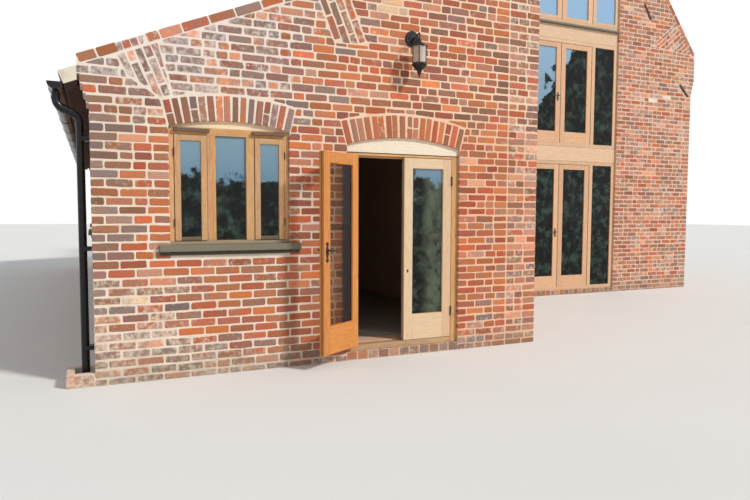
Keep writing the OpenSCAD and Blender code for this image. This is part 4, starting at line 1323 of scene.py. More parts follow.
def build_lever():
    bm = bmesh.new()
    fleur_plate(bm, REVEAL - 3.9)
    fleur_plate(bm, REVEAL + 54.1)
    bevel(bm, [edge for edge in bm.edges if edge.calc_face_angle(0.0) > 1.2], 1.0)
    for y in (REVEAL - 2, REVEAL + 56):
        for z in (1048, 1196):
            cone(bm, spot(LEVER_X, y, z, QUARTER), 10, 4, 4, 7)
    to_piece(bm, "lever_backplates", left_place(), "iron", ("lever_plates",), smooth=0.6,
             body="left_leaf_body")
    bm = bmesh.new()
    cone(bm, spot(LEVER_X, REVEAL + 27, LEVER_Z, QUARTER), 24, 8.6, 8.6, 156)
    for y in (REVEAL - 45, REVEAL + 99):
        lever_arm(bm, y)
    to_piece(bm, "lever_pair", left_place(), "iron", ("lever_handle",), "lever", 0.9)


# Each tier's foot and head, and the rails at the foot of its leaves and side lights
TIERS = [(83, 2420, 200, 0), (2680, 4563, 200, 0), (4842, 6150, 57, 57)]
POSTS = [(0, 83), (SCREEN_W - 83, SCREEN_W), (539, 625), (2029, 2115)]
SIDE_LIGHTS = [(83, 539), (2115, 2571)]
RAIL, LEAF_HEAD, LEAF_STILE, LEAF_W, LEAF_LEFT, LEAF_RIGHT = 60, 90, 102, 700, 625, 1329
SHADE_LINES = [614, 2028, 1323]


def screen_tier(frame_job, leaf_job, foot, head, leaf_rail, side_rail):
    """One storey of the screen: jambs, mullions, dark strips of painted shade in the gaps, rails and a
    pair of leaves.
    """
    deep, gap, bead = (REVEAL, REVEAL + 100), (REVEAL - 2, REVEAL + 1), (40, 48)
    low, high = foot + RAIL, head - RAIL
    for x in POSTS:
        frame_job.board(x, deep, (low, high), "z", 0.05, (1.05, 1.03, 1.0))
    # Dark strips beside the leaves and along their heads paint the shade of the gaps.
    for x in SHADE_LINES:
        frame_job.board((x, x + 12), gap, (low, high), "z", 0.5, 0.16)
    frame_job.board((626, 2028), gap, (high - 6, high + 2), "x", 0.5, 0.16)
    frame_job.board((0, SCREEN_W), deep, (foot, low), "x", 0.3)
    frame_job.board((0, SCREEN_W), deep, (high, head), "x", 0.05)
    for x in SIDE_LIGHTS:
        if side_rail:
            frame_job.board(x, deep, (low + 1, low + side_rail), "x", 0.05)
        frame_job.surround(x, bead, (low + side_rail, high), 3, 0.05)
    deep, tint = (REVEAL, REVEAL + LEAF_T), (1.0, 0.92, 0.86)
    for x in (LEAF_LEFT, LEAF_RIGHT):
        inner = (x + LEAF_STILE, x + LEAF_W - LEAF_STILE)
        leaf_job.board((x + 1, inner[0]), deep, (low, high), "z", 0.05, tint)
        leaf_job.board((inner[1], x + LEAF_W - 1), deep, (low, high), "z", 0.05, tint)
        leaf_job.board(inner, deep, (high - LEAF_HEAD, high), "x", 0.05, tint)
        leaf_job.board(inner, deep, (low, low + leaf_rail), "x", 0.1, tint)
        leaf_job.surround(inner, bead, (low + leaf_rail, high - LEAF_HEAD), 3, 0.05)


def build_screen():
    frame_job, leaf_job, board_job = Joiner(78), Joiner(79), Joiner(80)
    for tier in TIERS:
        screen_tier(frame_job, leaf_job, *tier)
    place = site(SCREEN_X, GABLE_Y)
    to_piece(frame_job.rounded(2.2), "screen_frame_oak", place, "screen_oak", ("screen_frame",))
    to_piece(leaf_job.rounded(2.0), "screen_leaf_oak", place, "screen_oak", ("screen_leaves",))
    bm = bmesh.new()
    for z in (1130, 3555):
        for x, y, up, size in ((1268, -3, 0, (26, 6, 150)), (1268, -22, 12, (15, 40, 15)),
                               (1230, -42, 12, (92, 12, 17))):
            block(bm, spot(x, REVEAL + y, z + up, size=size), 2.2, 2)
    to_piece(bm, "screen_handles", place, "iron", smooth=0.7)
    for low, high in ((2422, 2678), (4565, 4807)):
        board_job.board((2, SCREEN_W - 2), (REVEAL, REVEAL + 30), (low, high), "x")
    to_piece(board_job.rounded(2.5), "screen_boards", place, "pale_oak", ("screen_spandrels",))
    dress("glass", "screen_glass")


# Rainwater goods, ironwork and lantern


GUTTER_R, STRAP_W, STRAP_T = 60.5, 26, 4


def bracket(bm, x, y, z):
    """A strap that holds a half-round gutter from below."""
    turns = [math.radians(-95 + i*19) for i in range(11)]
    outline = [(x + GUTTER_R*math.sin(turn), y, z - GUTTER_R*math.cos(turn)) for turn in turns]
    faces = strip(bm, outline, (0, STRAP_W, 0))
    bmesh.ops.recalc_face_normals(bm, faces=faces)
    middle = Vector((x, 0, z))
    for vert in second_side(bm, faces):
        ray = Vector((vert.co.x, 0, vert.co.z)) - middle
        vert.co += ray.normalized()*STRAP_T


def build_rainwater():
    dress("black_gloss", "gutters", "downpipes")
    bm = bmesh.new()
    for i in range(13):
        bracket(bm, -252.9, 320 + i*980, 2556)
    barn_gutter_z = barn_z(HOUSE_W + 150, ROOF_FOOT) + 60
    for i in range(9):
        bracket(bm, HOUSE_W + 232, GABLE_Y + GABLE_T + 300 + i*990, barn_gutter_z)
    to_piece(bm, "gutter_brackets", site(), "black_gloss", smooth=0.6)


def build_tie_bars():
    bm = bmesh.new()
    for x, z, turn in ((2106, 5289, 57), (-2106, 5289, -57), (3132, 3901, 42)):
        at = spot(BARN_MID + x, GABLE_Y - 7.5, z, math.radians(turn), "Y")
        block(bm, at @ Matrix.Diagonal((318, 13, 40, 1)), 3.0)
        cone(bm, at @ Matrix.Translation((0, -12, 0)) @ Matrix.Rotation(QUARTER, 4, "X"), 6,
             17, 16, 13)
    to_piece(bm, "tie_bar_irons", site(), "iron", ("tie_bars",))


LANTERN = (3028, -160, 2980)
# Radii at the foot and head, heights of both above the cage's foot, and sides
LANTERN_CONES = [
    (80, 84, 168, 180, 6), (84, 60, 180, 192, 6), (60, 20, 192, 226, 6), (20, 15, 226, 236, 16),
    (10, 13, 236, 246, 16), (13, 5, 246, 256, 16), (76, 79, -12, 0, 6), (66, 76, -20, -12, 6),
    (30, 66, -58, -20, 6), (12, 30, -100, -58, 12), (9, 12, -108, -100, 12),
    (7, 11, -120, -108, 12), (2, 8, -142, -120, 12),
]
# How thick the arm and its scroll are, and their ways as (back, up)
LANTERN_ARM = [
    (1.0, [(-30, 3262), (-70, 3258), (-112, 3274), (-146, 3296), (-166, 3286), (-164, 3264),
           (-160, 3238)]),
    (0.7, [(-34, 3250), (-60, 3222), (-92, 3216), (-112, 3234), (-100, 3252), (-88, 3244)]),
]


def lantern_ironwork():
    """The lantern's cap, bars, rails and finial, and its wall plate with a ring of petals."""
    x, y, z = LANTERN
    bm = bmesh.new()
    for low, high, foot, head, sides in LANTERN_CONES:
        cone(bm, spot(x, y, z + (foot + head)/2), sides, low, high, head - foot)
    for i in range(6):
        post = math.radians(60*i)
        rail = post + math.radians(30)
        for turn, reach, up, twist, size in ((post, 75, 84, 0.0, (7, 7, 172)),
                                             (rail, 67, 6, QUARTER, (72, 4, 8))):
            at = spot(x + reach*math.cos(turn), y + reach*math.sin(turn), z + up,
                      turn + twist, "Z", size)
            bmesh.ops.create_cube(bm, size=1.0, matrix=at)
    plate = spot(x, -9, 3262, QUARTER)
    for up, sides, low, high, deep in ((0, 32, 84, 74, 14), (14, 32, 58, 34, 14),
                                       (28, 16, 18, 10, 18)):
        cone(bm, plate @ Matrix.Translation((0, 0, up)), sides, low, high, deep)
    for i in range(16):
        turn = math.radians(22.5*i)
        petal = spot(66*math.cos(turn), 66*math.sin(turn), 6, turn, "Z", (16, 8, 6))
        bmesh.ops.create_uvsphere(bm, u_segments=8, v_segments=5, radius=1.0,
                                  matrix=plate @ petal)
    return bm


def lantern_arm():
    """The curled arm and its scroll, as round bars along smooth curves."""
    arm = bpy.data.curves.new("lantern_arm", "CURVE")
    arm.dimensions = "3D"
    arm.bevel_depth = 6.5
    arm.bevel_resolution = 3
    arm.use_fill_caps = True
    for thick, route in LANTERN_ARM:
        spline = arm.splines.new("NURBS")
        spline.points.add(len(route) - 1)
        for point, (y, z) in zip(spline.points, route):
            point.co = (LANTERN[0], y, z, 1.0)
            point.radius = thick
        spline.use_endpoint_u = True
        spline.order_u = 4
        spline.resolution_u = 6
    holder = linked("lantern_arm_path", arm)
    shown = holder.evaluated_get(bpy.context.evaluated_depsgraph_get())
    bm = bmesh.new()
    bm.from_mesh(bpy.data.meshes.new_from_object(shown))
    bpy.data.objects.remove(holder)
    return bm


def build_lantern():
    to_piece(lantern_ironwork(), "lantern_ironwork", site(), "lamp_iron", ("lantern_body",),
             smooth=0.5)
    to_piece(lantern_arm(), "lantern_arm", site(), "iron", smooth=0.9)
    dress("lamp_glass", "lantern_panes")


def build_eaves():
    dress("eaves_paint", "eaves_boards")
    dress("arch_board", "arch_boards")


def build_floors():
    dress("concrete", "ground_floors")
    dress("floor_boards", "upper_floors")
    dress("mortar", "thresholds", "gully_surround")
    dress("tile", "wing_roof", "barn_roof_left", "barn_roof_right")


# Finishes


def rewashed(look, across, deep, height):
    """Where the wing's front was washed again with lime: high up, to the left."""
    return look.between(height, 2.2, 2.8)*look.between(across, -5.2, -6.2) \
        * look.between(deep, -7.2, -7.4)


def brick_finish(name):
    look = Finish(name, Roughness=0.88)
    tone = look.attribute("tone")
    lime = look.attribute("tone", "Alpha")
    edge = look.attribute("edge", "Fac")
    grain = look.noise(90.0, 5.0, 0.65)
    patch = look.noise(17.0, 3.0, 0.6)
    broad = look.noise(2.3, 2.0, 0.5)
    fired = look.noise(7.0, 2.0, 0.5)
    smear = look.noise(21.0, 5.0, 0.7)
    across, deep, height = look.position()
    washed = rewashed(look, across, deep, height)
    warm = look.mix(1.0, tone, (1.08, 0.98, 0.88, 1.0), "MULTIPLY")
    ash = look.mix(washed, linear(146, 126, 114), linear(142, 130, 124))
    body = look.mix(look.between(fired, 0.43, 0.57), warm, look.mix(lime*0.62, tone, ash))
    dark = look.mix(look.between(grain, 0.46, 0.72), body, (0.50, 0.45, 0.42, 1.0), "MULTIPLY")
    colour = look.mix(0.5, body, dark)
    worn = look.between(smear + (lime - 0.5)*0.3 + edge*0.2 + (broad - 0.5)*0.2, 0.5, 0.8)
    wash = look.mix(washed, linear(232, 211, 190), linear(230, 215, 206))
    limed = look.mix(worn*0.78, colour, wash)
    foot = look.between(height + (patch - 0.5)*0.3, 0.36, 0.04)
    soiled = look.mix(foot*0.42*look.between(across, -7.60, -7.57), limed, linear(128, 116, 96))
    look.bump(grain*0.45 + patch*0.5 + worn*0.5, 0.0045)
    return look.done(Base_Color=soiled)


def mortar_finish(name):
    look = Finish(name, Roughness=0.95)
    fine = look.noise(130.0, 5.0, 0.7)
    patch = look.noise(6.0, 4.0, 0.6)
    across, deep, height = look.position()
    pale = look.mix(look.between(patch, 0.35, 0.7), chosen("mortar", 0.94, 0.92, 0.9),
                    chosen("mortar", 1.06, 1.08, 1.11))
    fresh = look.mix(rewashed(look, across, deep, height)*0.7, pale, linear(236, 222, 212))
    sunny = look.stain(fresh, linear(242, 206, 176), across, -6.0, -4.7, 0.85)
    door = look.between(across, -5.6, -5.0)*look.between(height + (patch - 0.5)*0.8, 2.7, 2.2)
    peachy = look.mix(door*0.8, sunny, linear(232, 182, 146))
    colour = look.stain(peachy, linear(226, 190, 168), deep, -7.4, -7.2, 0.8)
    specks = look.stain(colour, linear(176, 152, 128), fine, 0.55, 0.75, 0.5)
    damp = height + (patch - 0.5)*0.3
    soiled = look.stain(specks, linear(128, 122, 106), damp, 0.30, 0.02, 0.3)
    look.bump(fine*0.6 + patch*0.4, 0.004)
    return look.done(Base_Color=soiled)


def tile_finish(name):
    look = Finish(name, Roughness=0.82)
    grain = look.noise(70.0, 4.0, 0.6)
    patch = look.noise(7.0, 4.0, 0.65)
    base = look.mix(look.attribute("tone", "Alpha"), chosen("tile", 0.82, 0.84, 0.94),
                    chosen("tile", 1.02, 1.08, 1.18))
    colour = look.stain(look.attribute("tone"), base, grain, 0.4, 0.75, 0.5)
    mossy = look.stain(colour, linear(112, 108, 88), patch, 0.60, 0.70, 0.55)
    spots = look.noise(34.0, 3.0, 0.5)
    lichen = look.stain(mossy, linear(196, 190, 160), spots, 0.68, 0.72, 0.6)
    look.bump(grain*0.5 + patch*0.5, 0.003)
    return look.done(Base_Color=lichen)


def timber_finish(name, light, dark, grey, sheen=0.55):
    """Oak along its own grain: growth lines, pores, weathering and splits."""
    look = Finish(name, Roughness=sheen)
    grain = look.attribute("grain", "Vector")
    weather = look.attribute("tone", "Alpha")
    lines = look.noise(6.0, 4.0, 0.6, look.stretched(grain, (1.2, 22.0, 22.0)), 0.6)
    pores = look.noise(10.0, 3.0, 0.7, look.stretched(grain, (5.0, 120.0, 120.0)))
    cloud = look.noise(3.0, 2.0, 0.5, look.stretched(grain, (0.8, 3.0, 3.0)))
    colour = look.mix(look.between(lines, 0.30, 0.72), light, dark)
    pored = look.stain(colour, dark, pores, 0.56, 0.74, 0.35)
    aged = look.stain(pored, grey, weather + (cloud - 0.5)*0.9, 0.15, 1.0, 0.9)
    splits = look.between(lines + (pores - 0.5)*0.3, 0.66, 0.76)*look.between(weather, 0.3, 1.0)
    cracked = look.mix(splits*0.8, aged, linear(70, 62, 54))
    look.bump(lines*0.5 + pores*0.5 - splits, 0.0012)
    return look.done(Base_Color=look.mix(1.0, cracked, look.attribute("tone"), "MULTIPLY"))


def timber(light, dark, grey, sheen=0.55):
    """A maker of oak in three colours read off."""
    colours = [linear(*colour) for colour in (light, dark, grey)]
    return lambda name: timber_finish(name, *colours, sheen)


def oak_finish(name):
    return timber_finish(name, chosen("oak"), chosen("oak", 0.73, 0.59, 0.47), linear(150, 130, 108))


def oiled_oak_finish(name):
    return timber_finish(name, chosen("oiled"), chosen("oiled", 0.73, 0.56, 0.39),
                         linear(150, 120, 90), 0.42)


def arch_board_finish(name):
    look = Finish(name, Roughness=0.7)
    lines = look.noise(8.0, 4.0, 0.6, look.stretched(look.place(), (1.5, 6.0, 22.0)), 0.5)
    specks = look.noise(60.0, 3.0, 0.6)
    grain = look.between(lines, 0.35, 0.7)
    cream = look.mix(grain, linear(242, 228, 206), linear(230, 210, 182))
    peach = look.mix(grain, linear(246, 222, 186), linear(234, 200, 158))
    colour = look.mix(look.between(look.position()[0], -5.6, -5.5), peach, cream)
    worn = look.stain(colour, linear(196, 160, 122), specks, 0.62, 0.72, 0.4)
    look.bump(lines*0.6 + specks*0.3, 0.0015)
    return look.done(Base_Color=worn)


def eaves_finish(name):
    look = Finish(name, Roughness=0.55)
    patch = look.noise(9.0, 4.0, 0.6)
    across, deep, _ = look.position()
    cream = look.stain(linear(222, 210, 188), linear(176, 162, 140), patch, 0.4, 0.7, 0.6)
    end = look.between(deep, -7.742, -7.747)*look.between(across, -7.83, -7.82)
    return look.done(Base_Color=look.mix(end, linear(46, 42, 38), cream))


def glass_finish(name):
    """Sealed double glazing over a dark room, with painted reflections of sky and trees on it."""
    look = Finish(name, Roughness=0.03, IOR=1.45, Specular_IOR_Level=0.35, Alpha=0.72)
    across, deep, height = look.position()
    # Painted reflections: sky above a ragged tree line and trees below it; the line stands higher on
    # the gable, and its upper tier shows only sky.
    ragged = look.noise(2.4, 8.0, 0.64)
    gable = look.between(deep, -6.0, -5.5)*look.between(deep, -3.5, -4.0)
    upper = look.between(height, 4.7, 4.8)
    edge = 1.78 + gable*(2.0 + (across + 0.08)*1.5)*(1.0 - upper)
    painted_sky_mask = look.between(height - edge + (ragged - 0.5)*(gable*1.6 + 1.1), -0.02, 0.05)
    # Painted sky reflection, hazier low down and bluer high up.
    painted_low_sky = look.mix(look.between(height, 1.5, 2.3), linear(104, 140, 166), linear(140, 172, 190))
    sky = look.mix(look.between(height, 3.0, 5.0), painted_low_sky, linear(166, 204, 238))
    # Painted tree reflection, dark and mottled.
    painted_tree_mottle = look.noise(7.0, 6.0, 0.68)
    dark = look.mix(look.between(painted_tree_mottle, 0.46, 0.66), linear(6, 12, 10), linear(58, 78, 68))
    # A paler painted patch of light on the glass of the right door leaf.
    leaf = look.between(across, -4.42, -4.28)*look.between(across, -4.0, -4.06) \
        * look.between(deep, -7.4, -7.5)*look.between(painted_tree_mottle, 0.30, 0.55)
    shade = look.mix(leaf*0.5, dark, linear(118, 130, 104))
    return look.done(Base_Color=look.mix(painted_sky_mask, shade, sky))


def clear_glass_finish(name):
    look = Finish(name, Roughness=0.02, IOR=1.45, Specular_IOR_Level=0.35)
    # Painted light on the open leaf's glass: brown for the brickwork seen through it, and a dark band
    # of painted shade towards the hinge.
    streak = look.noise(3.0, 2.0)
    painted_shade_band = look.between(look.position()[0] + (streak - 0.5)*0.03, -5.368, -5.350)
    painted_glass_light = look.mix(streak, linear(88, 62, 36), linear(116, 84, 54))
    return look.done(Base_Color=look.mix(painted_shade_band, painted_glass_light, linear(10, 12, 18)), Alpha=painted_shade_band*0.55 + 0.16)


def lamp_glass_finish(name):
    look = Finish(name, Roughness=0.12, IOR=1.5, Alpha=0.55)
    # Painted reflections on the lantern's panes: near white, and warmer on the panes left of its
    # middle.
    painted_glass_light = look.mix(look.noise(20.0, 2.0), linear(214, 218, 214), linear(236, 238, 234))
    warm = look.mix(look.between(look.position()[0], -4.52, -4.56), painted_glass_light, linear(214, 192, 166))
    return look.done(Base_Color=warm)


def gloss_finish(name):
    look = Finish(name, Roughness=0.3, Coat_Weight=0.1, Specular_IOR_Level=0.3)
    patch = look.noise(14.0, 4.0, 0.6)
    dust = look.stain(chosen("iron"), linear(72, 68, 62), patch, 0.5, 0.75, 0.2)
    return look.done(Base_Color=dust)


def lamp_iron_finish(name):
    look = Finish(name, Roughness=0.3, Metallic=0.3)
    grain = look.noise(90.0, 4.0, 0.6)
    look.bump(grain, 0.0012)
    colour = look.mix(look.between(grain, 0.5, 0.75), linear(20, 24, 22), linear(62, 64, 62))
    return look.done(Base_Color=colour)


def iron_finish(name):
    look = Finish(name, Roughness=0.5, Metallic=0.2)
    grain = look.noise(120.0, 4.0, 0.6)
    colour = look.mix(look.between(grain, 0.4, 0.75), linear(30, 31, 32), linear(58, 56, 54))
    rust = look.stain(colour, linear(96, 66, 48), look.noise(28.0, 4.0, 0.6), 0.62, 0.72, 0.4)
    look.bump(grain, 0.0008)
    return look.done(Base_Color=rust)


def concrete_finish(name):
    look = Finish(name, Roughness=0.85)
    patch = look.noise(5.0, 5.0, 0.6)
    look.bump(look.noise(80.0, 3.0), 0.002)
    return look.done(Base_Color=look.mix(patch, linear(150, 140, 126), linear(186, 176, 162)))


def floor_board_finish(name):
    look = Finish(name, Roughness=0.6)
    lines = look.noise(5.0, 4.0, 0.6, look.stretched(look.place(), (14.0, 1.0, 14.0)), 0.4)
    return look.done(Base_Color=look.mix(lines, linear(186, 146, 98), linear(150, 110, 70)))


def floor_finish(name):
    look = Finish(name, Roughness=0.9)
    patch = look.noise(0.6, 3.0, 0.5)
    return look.done(Base_Color=look.mix(patch, chosen("floor", 0.97, 0.97, 0.97),
                                         chosen("floor", 1.02, 1.02, 1.02)))


MAKERS = {
    "brick": brick_finish, "mortar": mortar_finish, "tile": tile_finish, "oak": oak_finish,
    "leaf_oak": timber((229, 202, 168), (214, 180, 142), (176, 158, 136)),
    "screen_oak": timber((224, 188, 152), (206, 162, 124), (168, 146, 124)),
    "pale_oak": timber((226, 194, 160), (208, 170, 134), (180, 164, 144)),
    "old_oak": timber((148, 138, 116), (104, 98, 80), (122, 116, 98), 0.8),
    "oiled_oak": oiled_oak_finish, "arch_board": arch_board_finish, "eaves_paint": eaves_finish,
    "glass": glass_finish, "clear_glass": clear_glass_finish, "lamp_glass": lamp_glass_finish,
    "black_gloss": gloss_finish, "lamp_iron": lamp_iron_finish, "iron": iron_finish,
    "concrete": concrete_finish, "floor_boards": floor_board_finish, "floor": floor_finish,
}


# Stage: camera, floor, lamp and world

CAMERA_PLACE, CAMERA_LENS = (-7.556, -13.514, 1.510), 29.867
CAMERA_YAW, CAMERA_PITCH, CAMERA_ROLL = (math.radians(a) for a in (24.319, 3.603, 0.219))


def build_camera():
    camera = bpy.data.cameras.new("camera")
    camera.sensor_width = 36.0
    camera.lens = CAMERA_LENS
    camera.clip_end = 400.0
    holder = linked("camera", camera)
    right = Vector((math.cos(CAMERA_YAW), -math.sin(CAMERA_YAW), 0))
    ahead = Vector((math.sin(CAMERA_YAW), math.cos(CAMERA_YAW), 0))
    rise = Vector(UP)
    look = ahead*math.cos(CAMERA_PITCH) - rise*math.sin(CAMERA_PITCH)
    top = rise*math.cos(CAMERA_PITCH) + ahead*math.sin(CAMERA_PITCH)
    side = right*math.cos(CAMERA_ROLL) + top*math.sin(CAMERA_ROLL)
    top = top*math.cos(CAMERA_ROLL) - right*math.sin(CAMERA_ROLL)
    holder.matrix_world = Matrix.Translation(CAMERA_PLACE) @ facing(side, top, -look)
    bpy.context.scene.camera = holder


def build_world(strength):
    """Even light from all round, and white where the camera, gloss or glass sees it."""
    world = bpy.data.worlds.new("world")
    bpy.context.scene.world = world
    sky = Nodes(world)
    seen = sky.node("ShaderNodeLightPath", out="Is Camera Ray")
    for ray in ("Is Glossy Ray", "Is Transmission Ray"):
        seen = seen.math("MAXIMUM", seen, sky.node("ShaderNodeLightPath", out=ray))
    light = sky.node("ShaderNodeBackground", ((0.90, 0.95, 1.0, 1.0), strength))
    white = sky.node("ShaderNodeBackground", ((1.0, 1.0, 1.0, 1.0), 1.0))
    both = sky.node("ShaderNodeMixShader", (seen, light, white))
    sky.node("ShaderNodeOutputWorld", {"Surface": both})


def build_stage(stage):
    bm = bmesh.new()
    bmesh.ops.create_grid(bm, x_segments=1, y_segments=1, size=60.0)
    bmesh.ops.translate(bm, verts=bm.verts, vec=(0, 0, -0.002))
    mesh = mesh_of(bm, "floor")
    mesh.materials.append(finish("floor"))
    linked("floor", mesh)
    lamp = bpy.data.lights.new("key", "SUN")
    lamp.energy = stage.key
    lamp.angle = stage.softness
    lamp.color = (1.0, 0.972, 0.93)
    direction = Vector((-0.55, 0.62, -0.62))
    linked("key", lamp).rotation_euler = direction.to_track_quat("-Z", "Y").to_euler()
    build_world(stage.fill)
    bpy.context.scene.view_settings.view_transform = "Standard"


# The add-on: settings, one operator for each group of pieces, a panel


def colour_setting(name, red, green, blue, description):
    return FloatVectorProperty(name=name, description=description, subtype="COLOR", size=3,
                               min=0.0, max=1.0, default=linear(red, green, blue)[:3])


def length_setting(name, default, low, high, description):
    return FloatProperty(name=name, description=description, default=default, min=low, max=high,
                         subtype="DISTANCE", unit="LENGTH")


class BARN_PG_bricks(PropertyGroup):
    """Sizes of the bricks and their joints."""

    course: length_setting("Course", 0.078, 0.065, 0.09, "Height of a brick and its joint")
    stretcher: length_setting("Stretcher", 0.215, 0.2, 0.24, "Length of a brick's long face")
    header: length_setting("Header", 0.103, 0.095, 0.115, "Length of a brick's short face")
    joint: length_setting("Joint", 0.014, 0.008, 0.02, "Width of the mortar joints")
    proud: length_setting("Proud", 0.0032, 0.001, 0.006, "How far brick faces stand out")


class BARN_PG_colours(PropertyGroup):
    """Colours of the main materials."""

    red: colour_setting("Red brick", 178, 98, 70, "The commonest brick")
    orange: colour_setting("Orange brick", 188, 114, 74, "Bricks from the middle of the kiln")
    grey: colour_setting("Burnt brick", 142, 116, 107, "Bricks next to the fire")
    mortar: colour_setting("Mortar", 232, 214, 194, "Lime mortar in the joints")
    tile: colour_setting("Pantiles", 176, 96, 68, "Clay of the roof tiles")
    oak: colour_setting("Oak", 212, 172, 128, "Window and door frames")
    oiled: colour_setting("Oiled oak", 212, 142, 72, "The door leaf that stands open")
    iron: colour_setting("Black paint", 14, 14, 16, "Gutters and downpipes")
    floor: colour_setting("Floor", 231, 230, 227, "Plain floor under the house")


class BARN_PG_stage(PropertyGroup):
    """The lamp and the light from all round."""

    key: FloatProperty(name="Sun", description="Strength of the key lamp", default=2.5,
                       min=0.0, max=6.0)
    fill: FloatProperty(name="Sky", description="Strength of the light from all round",
                        default=0.52, min=0.0, max=1.0)
    softness: FloatProperty(name="Softness", description="Angle of the key lamp",
                            default=math.radians(7), min=0.0, max=math.radians(30),
                            subtype="ANGLE", unit="ROTATION")


class BARN_OT_camera(Operator):
    """Places the camera at the photograph's viewing angle"""

    bl_idname = "barn.camera"
    bl_label = "Camera"

    def execute(self, context):
        build_camera()
        return {"FINISHED"}


class BARN_OT_walls(Operator):
    """Lays the bricks of every wall face, cut to its openings and slopes"""

    bl_idname = "barn.walls"
    bl_label = "Brick Walls"

    def execute(self, context):
        build_walls(context.scene.barn_bricks)
        return {"FINISHED"}


class BARN_OT_arches(Operator):
    """Sets the rings of bricks on end over the windows, door and screen"""

    bl_idname = "barn.arches"
    bl_label = "Brick Arches"

    def execute(self, context):
        build_arches(context.scene.barn_bricks)
        return {"FINISHED"}


class BARN_OT_copings(Operator):
    """Lays the brick copings up the slopes of the gables"""

    bl_idname = "barn.copings"
    bl_label = "Copings"

    def execute(self, context):
        build_copings(context.scene.barn_bricks)
        return {"FINISHED"}


class BARN_OT_kerbs(Operator):
    """Lays the brick thresholds and the kerb of the gully"""

    bl_idname = "barn.kerbs"
    bl_label = "Thresholds and Gully"

    def execute(self, context):
        build_small_brickwork(context.scene.barn_bricks)
        return {"FINISHED"}


class BARN_OT_roofs(Operator):
    """Hangs the pantiles and beds the ridge tiles"""

    bl_idname = "barn.roofs"
    bl_label = "Tiled Roofs"

    def execute(self, context):
        build_roofs()
        return {"FINISHED"}


class BARN_OT_windows(Operator):
    """Joins the oak window frames and casements, with their drip bars and hinges"""

    bl_idname = "barn.windows"
    bl_label = "Windows"

    def execute(self, context):
        build_windows()
        return {"FINISHED"}


class BARN_OT_sills(Operator):
    """Makes the weathered oak sills"""

    bl_idname = "barn.sills"
    bl_label = "Sills"

    def execute(self, context):
        build_sills()
        return {"FINISHED"}


class BARN_OT_door_frame(Operator):
    """Makes the oak frame of the pair of doors"""

    bl_idname = "barn.door_frame"
    bl_label = "Door Frame"

    def execute(self, context):
        build_door_frame()
        return {"FINISHED"}


class BARN_OT_leaves(Operator):
    """Makes the two glazed door leaves"""

    bl_idname = "barn.leaves"
    bl_label = "Door Leaves"

    def execute(self, context):
        build_leaves()
        return {"FINISHED"}


class BARN_OT_lever(Operator):
    """Makes the black lever handles and their plates"""

    bl_idname = "barn.lever"
    bl_label = "Lever Handle"

    def execute(self, context):
        build_lever()
        return {"FINISHED"}


class BARN_OT_screen(Operator):
    """Makes the three tiers of the barn's glazed screen"""

    bl_idname = "barn.screen"
    bl_label = "Glazed Screen"

    def execute(self, context):
        build_screen()
        return {"FINISHED"}


class BARN_OT_rainwater(Operator):
    """Paints the gutters and downpipes and adds their straps"""

    bl_idname = "barn.rainwater"
    bl_label = "Gutters and Pipes"

    def execute(self, context):
        build_rainwater()
        return {"FINISHED"}


class BARN_OT_tie_bars(Operator):
    """Forges the tie bars on the gable"""

    bl_idname = "barn.tie_bars"
    bl_label = "Tie Bars"

    def execute(self, context):
        build_tie_bars()
        return {"FINISHED"}


class BARN_OT_lantern(Operator):
    """Makes the lantern's ironwork, arm and glass"""

    bl_idname = "barn.lantern"
    bl_label = "Wall Lantern"

    def execute(self, context):
        build_lantern()
        return {"FINISHED"}


class BARN_OT_eaves(Operator):
    """Paints the eaves boards and the arched boards"""

    bl_idname = "barn.eaves"
    bl_label = "Eaves Boards"

    def execute(self, context):
        build_eaves()
        return {"FINISHED"}


class BARN_OT_floors(Operator):
    """Finishes the floors and the roofs' undersides"""

    bl_idname = "barn.floors"
    bl_label = "Floors"

    def execute(self, context):
        build_floors()
        return {"FINISHED"}


class BARN_OT_stage(Operator):
    """Adds the floor, the key lamp and the world"""

    bl_idname = "barn.stage"
    bl_label = "Stage"

    def execute(self, context):
        build_stage(context.scene.barn_stage)
        return {"FINISHED"}


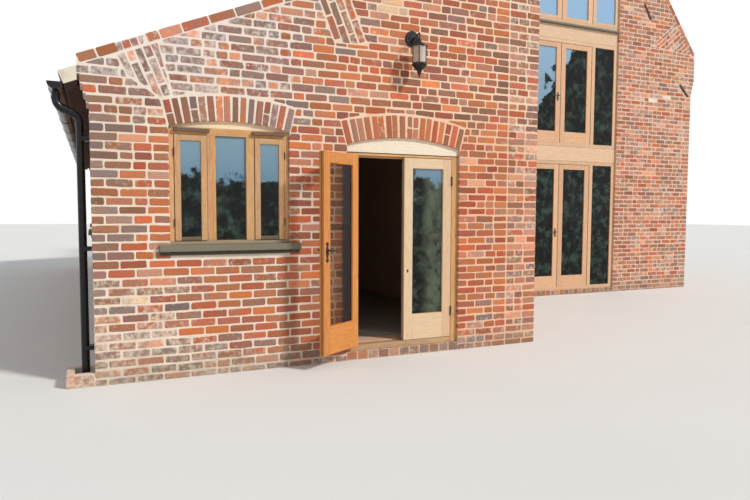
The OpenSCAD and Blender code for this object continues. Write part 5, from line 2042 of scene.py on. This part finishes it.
OPERATORS = (
    BARN_OT_camera,
    BARN_OT_walls,
    BARN_OT_arches,
    BARN_OT_copings,
    BARN_OT_kerbs,
    BARN_OT_roofs,
    BARN_OT_windows,
    BARN_OT_sills,
    BARN_OT_door_frame,
    BARN_OT_leaves,
    BARN_OT_lever,
    BARN_OT_screen,
    BARN_OT_rainwater,
    BARN_OT_tie_bars,
    BARN_OT_lantern,
    BARN_OT_eaves,
    BARN_OT_floors,
    BARN_OT_stage,
)
SETTINGS = {
    "barn_bricks": BARN_PG_bricks, "barn_colours": BARN_PG_colours, "barn_stage": BARN_PG_stage,
}


class BARN_PT_house(Panel):
    """The settings, and a button for each group of pieces"""

    bl_idname = "BARN_PT_house"
    bl_label = "Brick Barn House"
    bl_space_type = "VIEW_3D"
    bl_region_type = "UI"
    bl_category = "Barn House"

    def draw(self, context):
        for name in SETTINGS:
            group = getattr(context.scene, name)
            box = self.layout.box()
            for prop in group.bl_rna.properties:
                if prop.identifier not in ("rna_type", "name"):
                    box.prop(group, prop.identifier)
        column = self.layout.column(align=True)
        for operator in OPERATORS:
            column.operator(operator.bl_idname)


def register():
    for kind in (*SETTINGS.values(), *OPERATORS, BARN_PT_house):
        bpy.utils.register_class(kind)
    for name, group in SETTINGS.items():
        setattr(bpy.types.Scene, name, PointerProperty(type=group))


def unregister():
    for name in SETTINGS:
        delattr(bpy.types.Scene, name)
    for kind in (BARN_PT_house, *reversed(OPERATORS), *SETTINGS.values()):
        bpy.utils.unregister_class(kind)


def main():
    register()
    bpy.ops.barn.camera()
    bpy.ops.barn.walls()
    bpy.ops.barn.arches()
    bpy.ops.barn.copings()
    bpy.ops.barn.kerbs()
    bpy.ops.barn.roofs()
    bpy.ops.barn.windows()
    bpy.ops.barn.sills()
    bpy.ops.barn.door_frame()
    bpy.ops.barn.leaves()
    bpy.ops.barn.lever()
    bpy.ops.barn.screen()
    bpy.ops.barn.rainwater()
    bpy.ops.barn.tie_bars()
    bpy.ops.barn.lantern()
    bpy.ops.barn.eaves()
    bpy.ops.barn.floors()
    bpy.ops.barn.stage()


if __name__ == "__main__":
    main()
